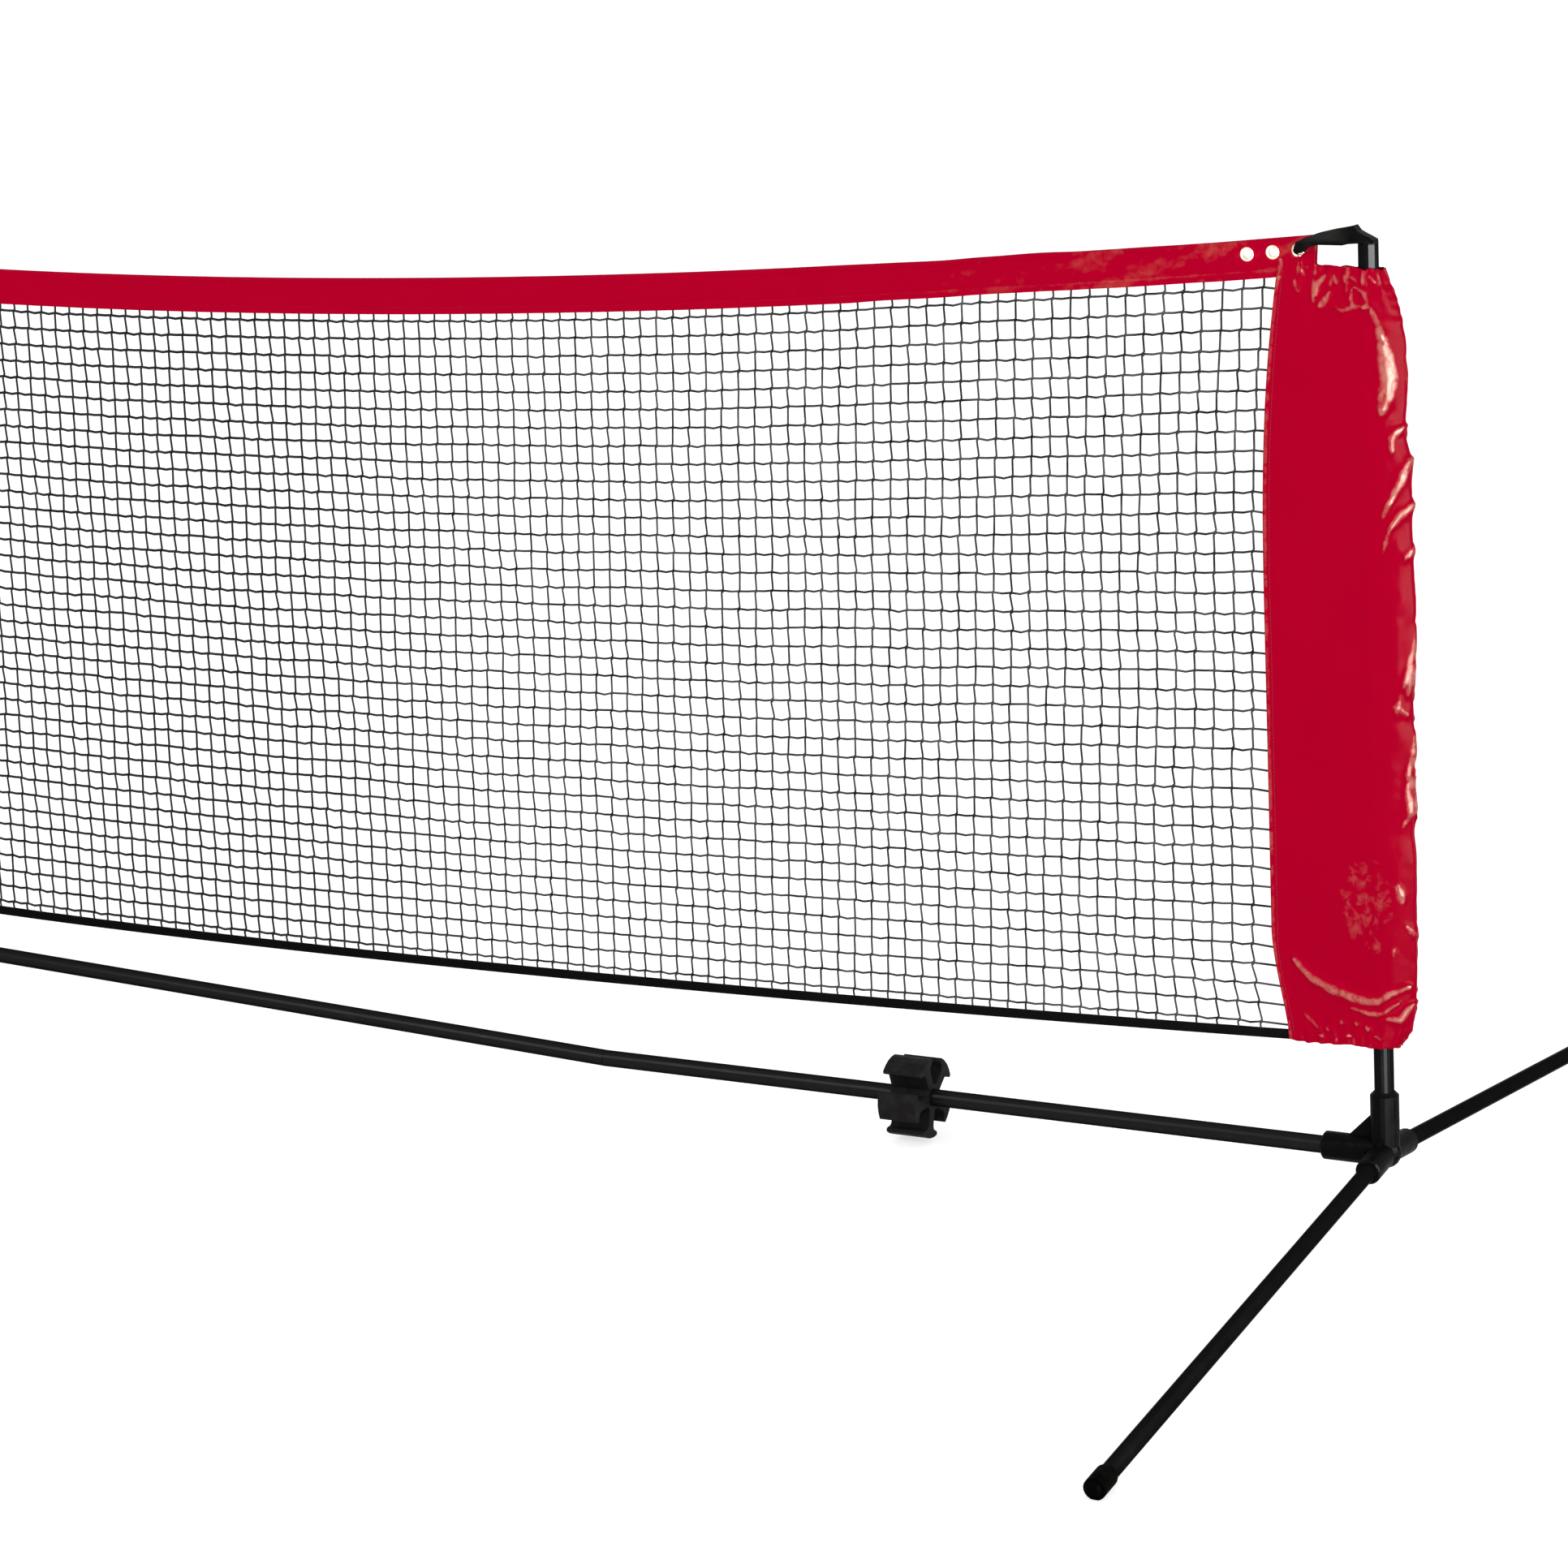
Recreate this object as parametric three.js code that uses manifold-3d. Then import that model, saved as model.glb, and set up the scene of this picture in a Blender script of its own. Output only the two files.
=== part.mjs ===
// Portable badminton net: a free-standing net about 3.2 m wide and 0.87 m high.
// Units are millimetres, +Z up, +X to the right along the net, +Y to the back.
// Origin: on the floor, under the middle of the net.

import * as THREE from 'three';
import { mergeVertices } from 'three/addons/utils/BufferGeometryUtils.js';
import Module from 'manifold-3d';

const wasm = await Module();
wasm.setup();

// Clearances
const seatGap = 0.3;
const cutOverrun = 6;
const mergeDistance = 1e-4;

// Overall frame
const halfSpan = 1600;
const sectionsPerSide = 2;
const cornerHeight = 64;
const baseHeight = 28;
const postHeight = 800;
const postLeanDegrees = 3.24;

// Tubes
const baseTubeDiameter = 16;
const baseTubeWall = 1.2;
const postDiameter = 17.5;
const postWall = 1.2;
const legTubeDiameter = 15;
const legTubeWall = 1.1;
const spigotLength = 42;
const spigotBoreShare = 3;
const spigotShoulderShare = 2;
const tubeSides = 20;

// Corner connector
const socketWall = 3.7;
const baseSocketLength = 57;
const postSocketLength = 56;
const legSocketLength = 49;
const socketStop = 17;
const socketRimChamfer = 3.4;
const tubeRimChamfer = 1.2;
const hubRadius = 14.5;
const webThickness = 4;
const webReach = 46;
const legWebReach = 30;

// Legs
const legReach = 679;
const legSplay = 25.6;
const footCapWall = 1.5;
const footCapLength = 30;
const footCapDome = 5;
const footCapStep = 2.2;
const soleCut = 0.9;

// Net outline. Its curves are measured over the corners.
const bandRise = 14.8;
const bandSag = 125.9;
const bandSagPower = 1.78;
const hemEndHeight = 166;
const hemSag = 89.1;
const hemSagPower = 1.47;
const bandDepth = 33;
const bandThickness = 3;
const bandEndInset = 45.5;
const hemDepth = 9;
const hemThickness = 3.4;
const bandSteps = 44;
const hemSteps = 30;

// Mesh: a lattice with wide gaps stands for the fine knotted mesh
const meshColumns = 26;
const meshRows = 7;
const strandWidth = 2.4;
const strandThickness = 1.6;
const selvedgeTuck = 3;
const selvedgeWidth = 9;

// Sleeves over the posts
const sleeveInboard = 103;
const sleeveOutboard = 34;
const sleeveHalfThickness = 15;
const sleeveEdgeHalfThickness = 2.6;
const sleeveWall = 1.3;
const sleeveUnderEyelets = 7.5;
const sleeveBottomDrop = 10;
const sleeveNeckDepth = 5;
const sleeveFoldDepth = 2.1;
const sleeveRings = 15;
const sleevePoints = 22;
const sleeveEdgePasses = 8;
const gatherCount = 5;
const diagonalFolds = 2.5;
const sleeveShares = {
  topWidth: 0.78,
  shoulderStart: 0.5,
  shoulderPower: 2.4,
  bottomWidth: 0.85,
  bottomRise: 0.113,
  neck: 0.45,
  neckTop: 0.94,
  neckBottom: 0.08,
  neckPower: 1.5,
  topPinchStart: 0.86,
  bottomPinchEnd: 0.13,
  taper: 0.12,
  taperStart: 0.55,
  taperEnd: 0.9,
  flare: 1.4,
  inboardCrown: 0.8,
  outboardCrown: 0.55,
  outboardFold: 0.4,
  slack: 0.6,
  slackTilt: 0.22,
  rim: 2.4,
  spread: 0.9,
  inboardLining: 2,
  outboardLining: 1.5,
  gatherSpread: 0.5,
  ringCrowding: 0.06,
};

// Eyelets
const eyeletCount = 3;
const eyeletSpacing = 23.4;
const lastEyeletInset = 16;
const eyeletDrop = 11.3;
const eyeletHole = 7.6;
const eyeletBarrelWall = 0.5;
const eyeletFlange = 12.4;
const eyeletFlangeThickness = 0.7;
const smallSides = 12;

// Tension hooks in the post tops
const hookFlangeThickness = 2.4;
const hookPlugLength = 16;
const hookArmThickness = 9;
const hookFingerThickness = 4.6;
const hookGap = 1;
const hookRise = 13;
const hookPegDiameter = 6;
const hookPegReach = 6;
const hookPegNib = 1;

// The hook's arm in side view: shares of the way from the post to the eyelet, and of the rise
const hookArmShares = [
  [-0.12, -0.09], [-0.12, 0.14], [-0.03, 0.34], [0.036, 0.47], [0.12, 0.66], [0.182, 1], [0.275, 0.86],
  [0.47, 0.67], [0.673, 0.41], [0.84, 0.1], [1, -0.28], [1.03, -0.6], [0.98, -0.9], [0.9, -0.92],
  [0.823, -0.55], [0.686, -0.39], [0.325, -0.33], [0.242, -0.22], [0.13, -0.16],
];

// Storage clips on the base tubes: five arms with T-shaped ends, and a channel for a tube between them
const clipLength = 39;
const clipRadius = 38.5;
const clipHubWall = 4.7;
const clipTurnDegrees = -21;
const clipArms = 5;
const clipPlaceShare = 0.42;

// One side of an arm: shares of the clip's radius, across the arm and along it
const clipArmShares = [
  [0.128, 0.3], [0.128, 0.64], [0.14, 0.72], [0.175, 0.775], [0.24, 0.805], [0.3, 0.815],
  [0.352, 0.845], [0.36, 0.885], [0.345, 0.925], [0.2, 0.975], [0, 1],
];

// Finishes
const finishes = {
  redVinyl: new THREE.MeshStandardMaterial({ color: 0xb50026, roughness: 0.3, metalness: 0 }),
  blackMesh: new THREE.MeshStandardMaterial({ color: 0x1c1c1e, roughness: 0.8, metalness: 0 }),
  blackTape: new THREE.MeshStandardMaterial({ color: 0x101012, roughness: 0.75, metalness: 0 }),
  blackSteel: new THREE.MeshStandardMaterial({ color: 0x141416, roughness: 0.35, metalness: 0.3 }),
  blackPlastic: new THREE.MeshStandardMaterial({ color: 0x1b1a1a, roughness: 0.5, metalness: 0 }),
  eyeletMetal: new THREE.MeshStandardMaterial({ color: 0xd8c2b0, roughness: 0.35, metalness: 0.8 }),
};

const radians = THREE.MathUtils.degToRad;
const xAxis = new THREE.Vector3(1, 0, 0);
const yAxis = new THREE.Vector3(0, 1, 0);
const zAxis = new THREE.Vector3(0, 0, 1);

// Places that follow from the sizes
const tubeSectionLength = halfSpan / sectionsPerSide;
const corner = new THREE.Vector3(halfSpan, 0, cornerHeight);
const sectionJoint = new THREE.Vector3(tubeSectionLength, 0, baseHeight);
const postDirection = new THREE.Vector3(0, 0, 1).applyAxisAngle(yAxis, -radians(postLeanDegrees));
const postTop = corner.clone().addScaledVector(postDirection, postHeight);
const baseDirection = sectionJoint.clone().sub(corner).normalize();
const legRadius = legTubeDiameter / 2;
const footCapRadius = legRadius + seatGap + footCapWall;
const footHeight = footCapRadius - soleCut;
const frontFoot = corner.clone().add(new THREE.Vector3(legSplay, -legReach, footHeight - cornerHeight));
const backFoot = frontFoot.clone().multiply(new THREE.Vector3(1, -1, 1));
const bandEndHeight = postTop.z + bandRise;
const bandHalfLength = postTop.x - bandEndInset;
const sleeveTopHeight = bandTop(bandHalfLength) - eyeletDrop - eyeletFlange / 2 - sleeveUnderEyelets;
const sleeveBottomHeight = hemEndHeight - sleeveBottomDrop;

// Solids

function toSolid(geometry) {
  const bare = geometry.index ? geometry.toNonIndexed() : geometry.clone();
  for (const name of Object.keys(bare.attributes)) {
    if (name !== 'position') bare.deleteAttribute(name);
  }
  const merged = mergeVertices(bare, mergeDistance);
  return new wasm.Manifold(new wasm.Mesh({
    numProp: 3,
    vertProperties: new Float32Array(merged.attributes.position.array),
    triVerts: new Uint32Array(merged.index.array),
  }));
}

function toGeometry(solid) {
  const mesh = solid.getMesh();
  const geometry = new THREE.BufferGeometry();
  geometry.setAttribute('position', new THREE.BufferAttribute(new Float32Array(mesh.vertProperties), 3));
  geometry.setIndex(new THREE.BufferAttribute(new Uint32Array(mesh.triVerts), 1));
  geometry.computeVertexNormals();
  return geometry;
}

function join(solids) {
  return solids.reduce((whole, solid) => whole.add(solid));
}

function cut(solid, cutters) {
  return cutters.reduce((rest, cutter) => rest.subtract(cutter), solid);
}

// A solid of revolution whose axis starts at one point and runs along a direction.
// The profile is a list of [radius, distance along the axis].
function turned(profile, start, direction, sides = tubeSides) {
  const points = profile.map(([radius, along]) => new THREE.Vector2(radius, along));
  const geometry = new THREE.LatheGeometry(points, sides);
  const turn = new THREE.Quaternion().setFromUnitVectors(yAxis, direction.clone().normalize());
  geometry.applyQuaternion(turn);
  geometry.translate(start.x, start.y, start.z);
  return geometry;
}

function rod(radius, from, to, start, direction, sides = tubeSides) {
  return toSolid(turned([[0, from], [radius, from], [radius, to], [0, to]], start, direction, sides));
}

// A flat plate from an outline in the X-Z plane, centred on one value of Y
function plateXZ(outline, thickness, middleY) {
  const shape = new THREE.Shape(outline.map(([x, z]) => new THREE.Vector2(x, z)));
  const geometry = new THREE.ExtrudeGeometry(shape, { depth: thickness, bevelEnabled: false });
  geometry.rotateX(Math.PI / 2);
  geometry.translate(0, middleY + thickness / 2, 0);
  return toSolid(geometry);
}

function block(sizeX, sizeY, sizeZ, x, y, z) {
  const geometry = new THREE.BoxGeometry(sizeX, sizeY, sizeZ);
  geometry.translate(x, y, z);
  return toSolid(geometry);
}

// Curves of the net

function bandTop(x) {
  return bandEndHeight - bandSag * (1 - Math.abs(x / halfSpan) ** bandSagPower);
}

function bandBottom(x) {
  return bandTop(x) - bandDepth;
}

function hemMiddle(x) {
  return hemEndHeight - hemSag * (1 - Math.abs(x / halfSpan) ** hemSagPower);
}

function postX(z) {
  return halfSpan - (z - cornerHeight) * Math.tan(radians(postLeanDegrees));
}

// Sleeve outline, measured from the post axis. up runs from 0 at the bottom to 1 at the top.

function sleeveBottomEdge(x) {
  const nearPost = postX(sleeveBottomHeight);
  const inboardCorner = nearPost - sleeveInboard * sleeveShares.bottomWidth;
  const rise = (x - inboardCorner) * sleeveShares.bottomRise;
  const flareStart = nearPost - postDiameter * sleeveShares.flare;
  const drop = THREE.MathUtils.smoothstep(x, flareStart, nearPost - postDiameter / 2);
  return sleeveBottomHeight + rise - sleeveNeckDepth * drop;
}

function endPinch(up) {
  const nearTop = THREE.MathUtils.smoothstep(up, sleeveShares.topPinchStart, 1);
  const nearBottom = 1 - THREE.MathUtils.smoothstep(up, 0, sleeveShares.bottomPinchEnd);
  return { nearTop, nearBottom };
}

function inboardReach(up) {
  const { nearBottom } = endPinch(up);
  const { topWidth, shoulderStart, shoulderPower, bottomWidth } = sleeveShares;
  const shoulder = Math.max(0, (up - shoulderStart) / (1 - shoulderStart)) ** shoulderPower;
  return sleeveInboard * (1 - (1 - topWidth) * shoulder - (1 - bottomWidth) * nearBottom);
}

function outboardReach(up) {
  const { taper, taperStart, taperEnd, neck, neckTop, neckBottom, neckPower } = sleeveShares;
  const upperTaper = 1 - taper * THREE.MathUtils.smoothstep(up, taperStart, taperEnd);
  const atTop = Math.max(0, (up - neckTop) / (1 - neckTop));
  const atBottom = Math.max(0, 1 - up / neckBottom) ** neckPower;
  return sleeveOutboard * upperTaper * (1 - (1 - neck) * Math.max(atTop, atBottom));
}

function sleeveThickness(share, up) {
  const { nearTop, nearBottom } = endPinch(up);
  const pinch = Math.max(nearTop, nearBottom);
  const neck = postDiameter / 2 + sleeveWall + seatGap * 2;
  const full = THREE.MathUtils.lerp(sleeveHalfThickness, neck, pinch);
  const crown = share < 0
    ? Math.cos(-share * Math.PI / 2) ** sleeveShares.inboardCrown
    : Math.cos(share * Math.PI / 2) ** sleeveShares.outboardCrown;
  return sleeveEdgeHalfThickness + (full - sleeveEdgeHalfThickness) * crown;
}

// Folds: gathers fan out from the drawn-in ends, and slack runs across the middle
function sleeveFold(share, up, side) {
  const { nearTop, nearBottom } = endPinch(up);
  const depth = share < 0 ? 1 : sleeveShares.outboardFold;
  const away = depth * Math.sin(Math.PI * Math.min(1, Math.abs(share))) ** 2;
  const atEnds = Math.max(nearTop, nearBottom);
  const gathers = Math.cos(share * gatherCount * Math.PI + side) * atEnds ** sleeveShares.gatherSpread;
  const wave = diagonalFolds * Math.PI * 2 * (up + sleeveShares.slackTilt * share * side) + side;
  const slack = sleeveShares.slack * Math.sin(wave);
  return sleeveFoldDepth * away * (gathers + slack * (1 - atEnds));
}

// One closed ring of the sleeve, inset by the wall for the lining of the pouch
function sleeveRing(up, inset, lift) {
  const points = [];
  const guideZ = THREE.MathUtils.lerp(sleeveBottomHeight, sleeveTopHeight, up);
  const inboard = inboardReach(up) - inset * sleeveShares.inboardLining;
  const outboard = outboardReach(up) - inset * sleeveShares.outboardLining;
  for (let i = 0; i < sleevePoints; i += 1) {
    const angle = (i / sleevePoints) * 2 * Math.PI;
    const cosine = Math.cos(angle);
    const share = Math.sign(cosine) * Math.abs(cosine) ** sleeveShares.spread;
    const side = Math.sin(angle) >= 0 ? 1 : -1;
    const reach = share < 0 ? inboard : outboard;
    const x = postX(guideZ) + share * reach;
    const rim = Math.min(1, Math.abs(Math.sin(angle)) * sleeveShares.rim);
    const thick = (sleeveThickness(share, up) + sleeveFold(share, up, side)) * rim;
    const bottom = sleeveBottomEdge(x);
    const z = THREE.MathUtils.lerp(bottom, sleeveTopHeight, up) + lift;
    points.push(new THREE.Vector3(x, Math.max(0, thick - inset * rim) * side, z));
  }
  return points;
}

// Skin over a stack of closed rings, closed by a fan at each end
function loft(rings) {
  const count = rings[0].length;
  const positions = [];
  const indices = [];
  for (const ring of rings) {
    for (const point of ring) positions.push(point.x, point.y, point.z);
  }
  for (let r = 0; r + 1 < rings.length; r += 1) {
    for (let i = 0; i < count; i += 1) {
      const a = r * count + i;
      const b = r * count + ((i + 1) % count);
      indices.push(a, b, b + count, a, b + count, a + count);
    }
  }
  const ends = [[0, -1], [rings.length - 1, 1]];
  for (const [r, facing] of ends) {
    const middle = new THREE.Vector3();
    for (const point of rings[r]) middle.addScaledVector(point, 1 / count);
    const hub = positions.length / 3;
    positions.push(middle.x, middle.y, middle.z);
    for (let i = 0; i < count; i += 1) {
      const a = r * count + i;
      const b = r * count + ((i + 1) % count);
      if (facing > 0) indices.push(hub, a, b);
      else indices.push(hub, b, a);
    }
  }
  const geometry = new THREE.BufferGeometry();
  geometry.setAttribute('position', new THREE.Float32BufferAttribute(positions, 3));
  geometry.setIndex(indices);
  return toSolid(geometry);
}

// A four-sided bar that follows a line in the X-Z plane, drawn as stations of [x, low z, high z]
function ribbon(stations, thickness) {
  const rings = stations.map(([x, low, high]) => [
    new THREE.Vector3(x, -thickness / 2, low),
    new THREE.Vector3(x, thickness / 2, low),
    new THREE.Vector3(x, thickness / 2, high),
    new THREE.Vector3(x, -thickness / 2, high),
  ]);
  return loft(rings);
}

function stations(halfLength, steps, low, high) {
  const list = [];
  for (let i = 0; i <= steps; i += 1) {
    const x = THREE.MathUtils.lerp(-halfLength, halfLength, i / steps);
    list.push([x, low(x), high(x)]);
  }
  return list;
}

// Inboard edge of the sleeve at a height, where the mesh is sewn on
function sleeveEdgeX(z) {
  let up = THREE.MathUtils.clamp((z - sleeveBottomHeight) / (sleeveTopHeight - sleeveBottomHeight), 0, 1);
  let x = 0;
  for (let pass = 0; pass < sleeveEdgePasses; pass += 1) {
    x = postX(THREE.MathUtils.lerp(sleeveBottomHeight, sleeveTopHeight, up)) - inboardReach(up);
    const bottom = sleeveBottomEdge(x);
    up = THREE.MathUtils.clamp((z - bottom) / (sleeveTopHeight - bottom), 0, 1);
  }
  return x;
}

// The sleeve's outer form, or its lining when it is inset
function sleeveForm(inset) {
  const rings = [];
  for (let r = 0; r <= sleeveRings; r += 1) {
    const even = r / sleeveRings;
    const up = even - Math.sin(even * 2 * Math.PI) * sleeveShares.ringCrowding;
    let lift = 0;
    if (r === 0) lift = inset;
    if (r === sleeveRings) lift = -inset;
    rings.push(sleeveRing(up, inset, lift));
  }
  return loft(rings);
}

// What the mesh and the hem are trimmed with, so that they end at the sleeves
function sleeveClearance() {
  const grown = sleeveForm(-seatGap);
  return [grown, grown.mirror([1, 0, 0])];
}

// Right sleeve: a drawn-in fabric pouch, open round the post at both ends
function makeSleeve() {
  const passage = rod(postDiameter / 2 + seatGap, -cutOverrun, postHeight, corner, postDirection);
  const slotBottom = (x) => bandBottom(x) - seatGap;
  const slotStations = stations(bandHalfLength + seatGap, bandSteps, slotBottom, bandTop);
  const bandSlot = ribbon(slotStations, bandThickness + 2 * seatGap);
  return toGeometry(cut(sleeveForm(0), [sleeveForm(sleeveWall), passage, bandSlot]));
}

// Net mesh: a mapped lattice of square strands with one face loop for each gap
function makeNetMesh() {
  const netBottom = (x) => hemMiddle(x) + hemDepth / 2 + seatGap;
  const netTop = (x) => bandBottom(x) - seatGap;
  const place = (u, v) => {
    const guideX = bandHalfLength - lastEyeletInset;
    const edge = sleeveEdgeX(THREE.MathUtils.lerp(netBottom(guideX), netTop(guideX), v));
    const x = u * (edge + selvedgeTuck);
    return [x, THREE.MathUtils.lerp(netBottom(x), netTop(x), v)];
  };
  const width = 2 * sleeveEdgeX((netBottom(0) + netTop(0)) / 2);
  const height = netTop(0) - netBottom(0);
  const columnLines = [-1];
  for (let i = 1; i < meshColumns; i += 1) {
    const middle = THREE.MathUtils.lerp(-1, 1, i / meshColumns);
    columnLines.push(middle - strandWidth / width, middle + strandWidth / width);
  }
  const selvedge = 1 - 2 * selvedgeWidth / width;
  columnLines.splice(1, 0, -selvedge);
  columnLines.push(selvedge, 1);
  const rowLines = [];
  for (let j = 0; j <= meshRows; j += 1) {
    const half = strandWidth / 2 / height;
    const middle = THREE.MathUtils.lerp(half, 1 - half, j / meshRows);
    rowLines.push(middle - half, middle + half);
  }
  const positions = [];
  for (const side of [-1, 1]) {
    for (const v of rowLines) {
      for (const u of columnLines) {
        const [x, z] = place(u, v);
        positions.push(x, side * strandThickness / 2, z);
      }
    }
  }
  const across = columnLines.length;
  const layer = across * rowLines.length;
  const indices = [];
  const quad = (a, b, c, d) => indices.push(a, b, c, a, c, d);
  const isGap = (i, j) => i % 2 === 1 && j % 2 === 1;
  const isSolid = (i, j) => i >= 0 && j >= 0 && i < across - 1 && j < rowLines.length - 1 && !isGap(i, j);
  for (let j = 0; j < rowLines.length - 1; j += 1) {
    for (let i = 0; i < across - 1; i += 1) {
      if (!isSolid(i, j)) continue;
      const a = j * across + i;
      const b = a + 1;
      const c = b + across;
      const d = a + across;
      quad(a, b, c, d);
      quad(a + layer, d + layer, c + layer, b + layer);
      if (!isSolid(i, j - 1)) quad(a, a + layer, b + layer, b);
      if (!isSolid(i, j + 1)) quad(d, c, c + layer, d + layer);
      if (!isSolid(i - 1, j)) quad(a, d, d + layer, a + layer);
      if (!isSolid(i + 1, j)) quad(b, b + layer, c + layer, c);
    }
  }
  const geometry = new THREE.BufferGeometry();
  geometry.setAttribute('position', new THREE.Float32BufferAttribute(positions, 3));
  geometry.setIndex(indices);
  return toGeometry(cut(toSolid(geometry), sleeveClearance()));
}

// Eyelet places along the band, from the innermost to the one the hook holds
function eyeletPlace(index) {
  const x = bandHalfLength - lastEyeletInset - (eyeletCount - 1 - index) * eyeletSpacing;
  return new THREE.Vector3(x, 0, bandTop(x) - eyeletDrop);
}

const eyeletBarrelRadius = eyeletHole / 2 + eyeletBarrelWall;

function makeTopBand() {
  const band = ribbon(stations(bandHalfLength, bandSteps, bandBottom, bandTop), bandThickness);
  const holes = [];
  for (const side of [-1, 1]) {
    for (let index = 0; index < eyeletCount; index += 1) {
      const place = eyeletPlace(index).multiply(new THREE.Vector3(side, 1, 1));
      const half = bandThickness / 2 + cutOverrun;
      holes.push(rod(eyeletBarrelRadius + seatGap, -half, half, place, yAxis, smallSides));
    }
  }
  return toGeometry(cut(band, holes));
}

function makeHem() {
  const low = (x) => hemMiddle(x) - hemDepth / 2;
  const high = (x) => hemMiddle(x) + hemDepth / 2;
  const z = hemMiddle(halfSpan - sleeveInboard);
  const halfLength = sleeveEdgeX(z) + selvedgeTuck * 2;
  const tape = ribbon(stations(halfLength, hemSteps, low, high), hemThickness);
  return toGeometry(cut(tape, sleeveClearance()));
}

// A rolled eyelet: a barrel through the band with a flange on each face
function makeEyelet(index) {
  const bore = eyeletHole / 2;
  const barrel = eyeletBarrelRadius;
  const flange = eyeletFlange / 2;
  const inner = bandThickness / 2 + seatGap;
  const outer = inner + eyeletFlangeThickness;
  const profile = [
    [bore, -outer], [flange, -outer], [flange, -inner], [barrel, -inner],
    [barrel, inner], [flange, inner], [flange, outer], [bore, outer], [bore, -outer],
  ];
  return toGeometry(toSolid(turned(profile, eyeletPlace(index), yAxis, smallSides)));
}

// Posts and base tubes are open steel tubes

function tube(diameter, wall, from, to, start, direction) {
  const outer = diameter / 2;
  const inner = outer - wall;
  const profile = [[inner, from], [outer, from], [outer, to], [inner, to], [inner, from]];
  return toSolid(turned(profile, start, direction));
}

function makePost() {
  const top = postHeight - hookFlangeThickness - seatGap;
  return toGeometry(tube(postDiameter, postWall, socketStop + seatGap, top, corner, postDirection));
}

function makeOuterBaseTube() {
  const length = corner.distanceTo(sectionJoint);
  return toGeometry(tube(baseTubeDiameter, baseTubeWall, socketStop + seatGap, length - seatGap,
    corner, baseDirection));
}

const spigotRadius = baseTubeDiameter / 2 - baseTubeWall - seatGap;
const spigotBoreReach = spigotRadius * spigotBoreShare;

// A swaged neck fits into the next tube, and follows that tube's direction
function spigot(start, direction) {
  const body = rod(spigotRadius, -spigotRadius, spigotLength, start, direction);
  const boreRadius = spigotRadius - baseTubeWall;
  const bore = rod(boreRadius, -spigotBoreReach, spigotLength + cutOverrun, start, direction);
  return { body, bore };
}

// The two inner tubes meet in the middle, where only the right one has a neck
function makeInnerBaseTube(hasMiddleNeck) {
  const inward = xAxis.clone().negate();
  const bodyEnd = tubeSectionLength - seatGap / 2;
  const shoulder = spigotRadius * spigotShoulderShare;
  const boreEnd = hasMiddleNeck ? bodyEnd - shoulder : bodyEnd + cutOverrun;
  const parts = [rod(baseTubeDiameter / 2, seatGap, bodyEnd, sectionJoint, inward)];
  const cutters = [rod(baseTubeDiameter / 2 - baseTubeWall, shoulder, boreEnd, sectionJoint, inward)];
  const necks = [spigot(sectionJoint, baseDirection.clone().negate())];
  if (hasMiddleNeck) necks.push(spigot(new THREE.Vector3(0, 0, baseHeight), inward));
  for (const neck of necks) {
    parts.push(neck.body);
    cutters.push(neck.bore);
  }
  return toGeometry(cut(join(parts), cutters));
}

// Corner connector: four sockets that meet in a hub, with webs between them and open bores

function socket(outer, length, direction, chamfer) {
  const profile = [[0, 0], [outer, 0], [outer, length - chamfer], [outer - chamfer, length], [0, length]];
  return toSolid(turned(profile, corner, direction));
}

function socketBore(tubeDiameter, length, direction) {
  return rod(tubeDiameter / 2 + seatGap, socketStop, length + cutOverrun, corner, direction);
}

// A triangular web between two sockets, lying in the plane of their axes
function web(first, second, firstReach, secondReach) {
  const normal = first.clone().cross(second).normalize();
  const across = normal.clone().cross(first).normalize();
  const end = second.clone().multiplyScalar(secondReach);
  const shape = new THREE.Shape([
    new THREE.Vector2(0, 0),
    new THREE.Vector2(firstReach, 0),
    new THREE.Vector2(end.dot(first), end.dot(across)),
  ]);
  const geometry = new THREE.ExtrudeGeometry(shape, { depth: webThickness, bevelEnabled: false });
  geometry.translate(0, 0, -webThickness / 2);
  geometry.applyMatrix4(new THREE.Matrix4().makeBasis(first, across, normal));
  geometry.translate(corner.x, corner.y, corner.z);
  return toSolid(geometry);
}

function makeConnector() {
  const front = frontFoot.clone().sub(corner).normalize();
  const back = backFoot.clone().sub(corner).normalize();
  const hub = new THREE.SphereGeometry(hubRadius, tubeSides, tubeSides / 2);
  hub.translate(corner.x, corner.y, corner.z);
  const mainRadius = Math.max(postDiameter, baseTubeDiameter) / 2 + seatGap + socketWall;
  const sideRadius = legRadius + seatGap + socketWall;
  const body = join([
    toSolid(hub),
    socket(mainRadius, postSocketLength, postDirection, socketRimChamfer),
    socket(mainRadius, baseSocketLength, baseDirection, tubeRimChamfer),
    socket(sideRadius, legSocketLength, front, tubeRimChamfer),
    socket(sideRadius, legSocketLength, back, tubeRimChamfer),
    web(postDirection, baseDirection, webReach, webReach),
    web(baseDirection, front, legWebReach, legWebReach),
    web(baseDirection, back, legWebReach, legWebReach),
    web(postDirection, front, legWebReach, legWebReach),
    web(postDirection, back, legWebReach, legWebReach),
  ]);
  return toGeometry(cut(body, [
    socketBore(postDiameter, postSocketLength, postDirection),
    socketBore(baseTubeDiameter, baseSocketLength, baseDirection),
    socketBore(legTubeDiameter, legSocketLength, front),
    socketBore(legTubeDiameter, legSocketLength, back),
  ]));
}

// Legs

function makeLegTube(foot) {
  const direction = foot.clone().sub(corner).normalize();
  const end = corner.distanceTo(foot) - footCapDome - footCapWall - seatGap;
  return toGeometry(tube(legTubeDiameter, legTubeWall, socketStop + seatGap, end, corner, direction));
}

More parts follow.
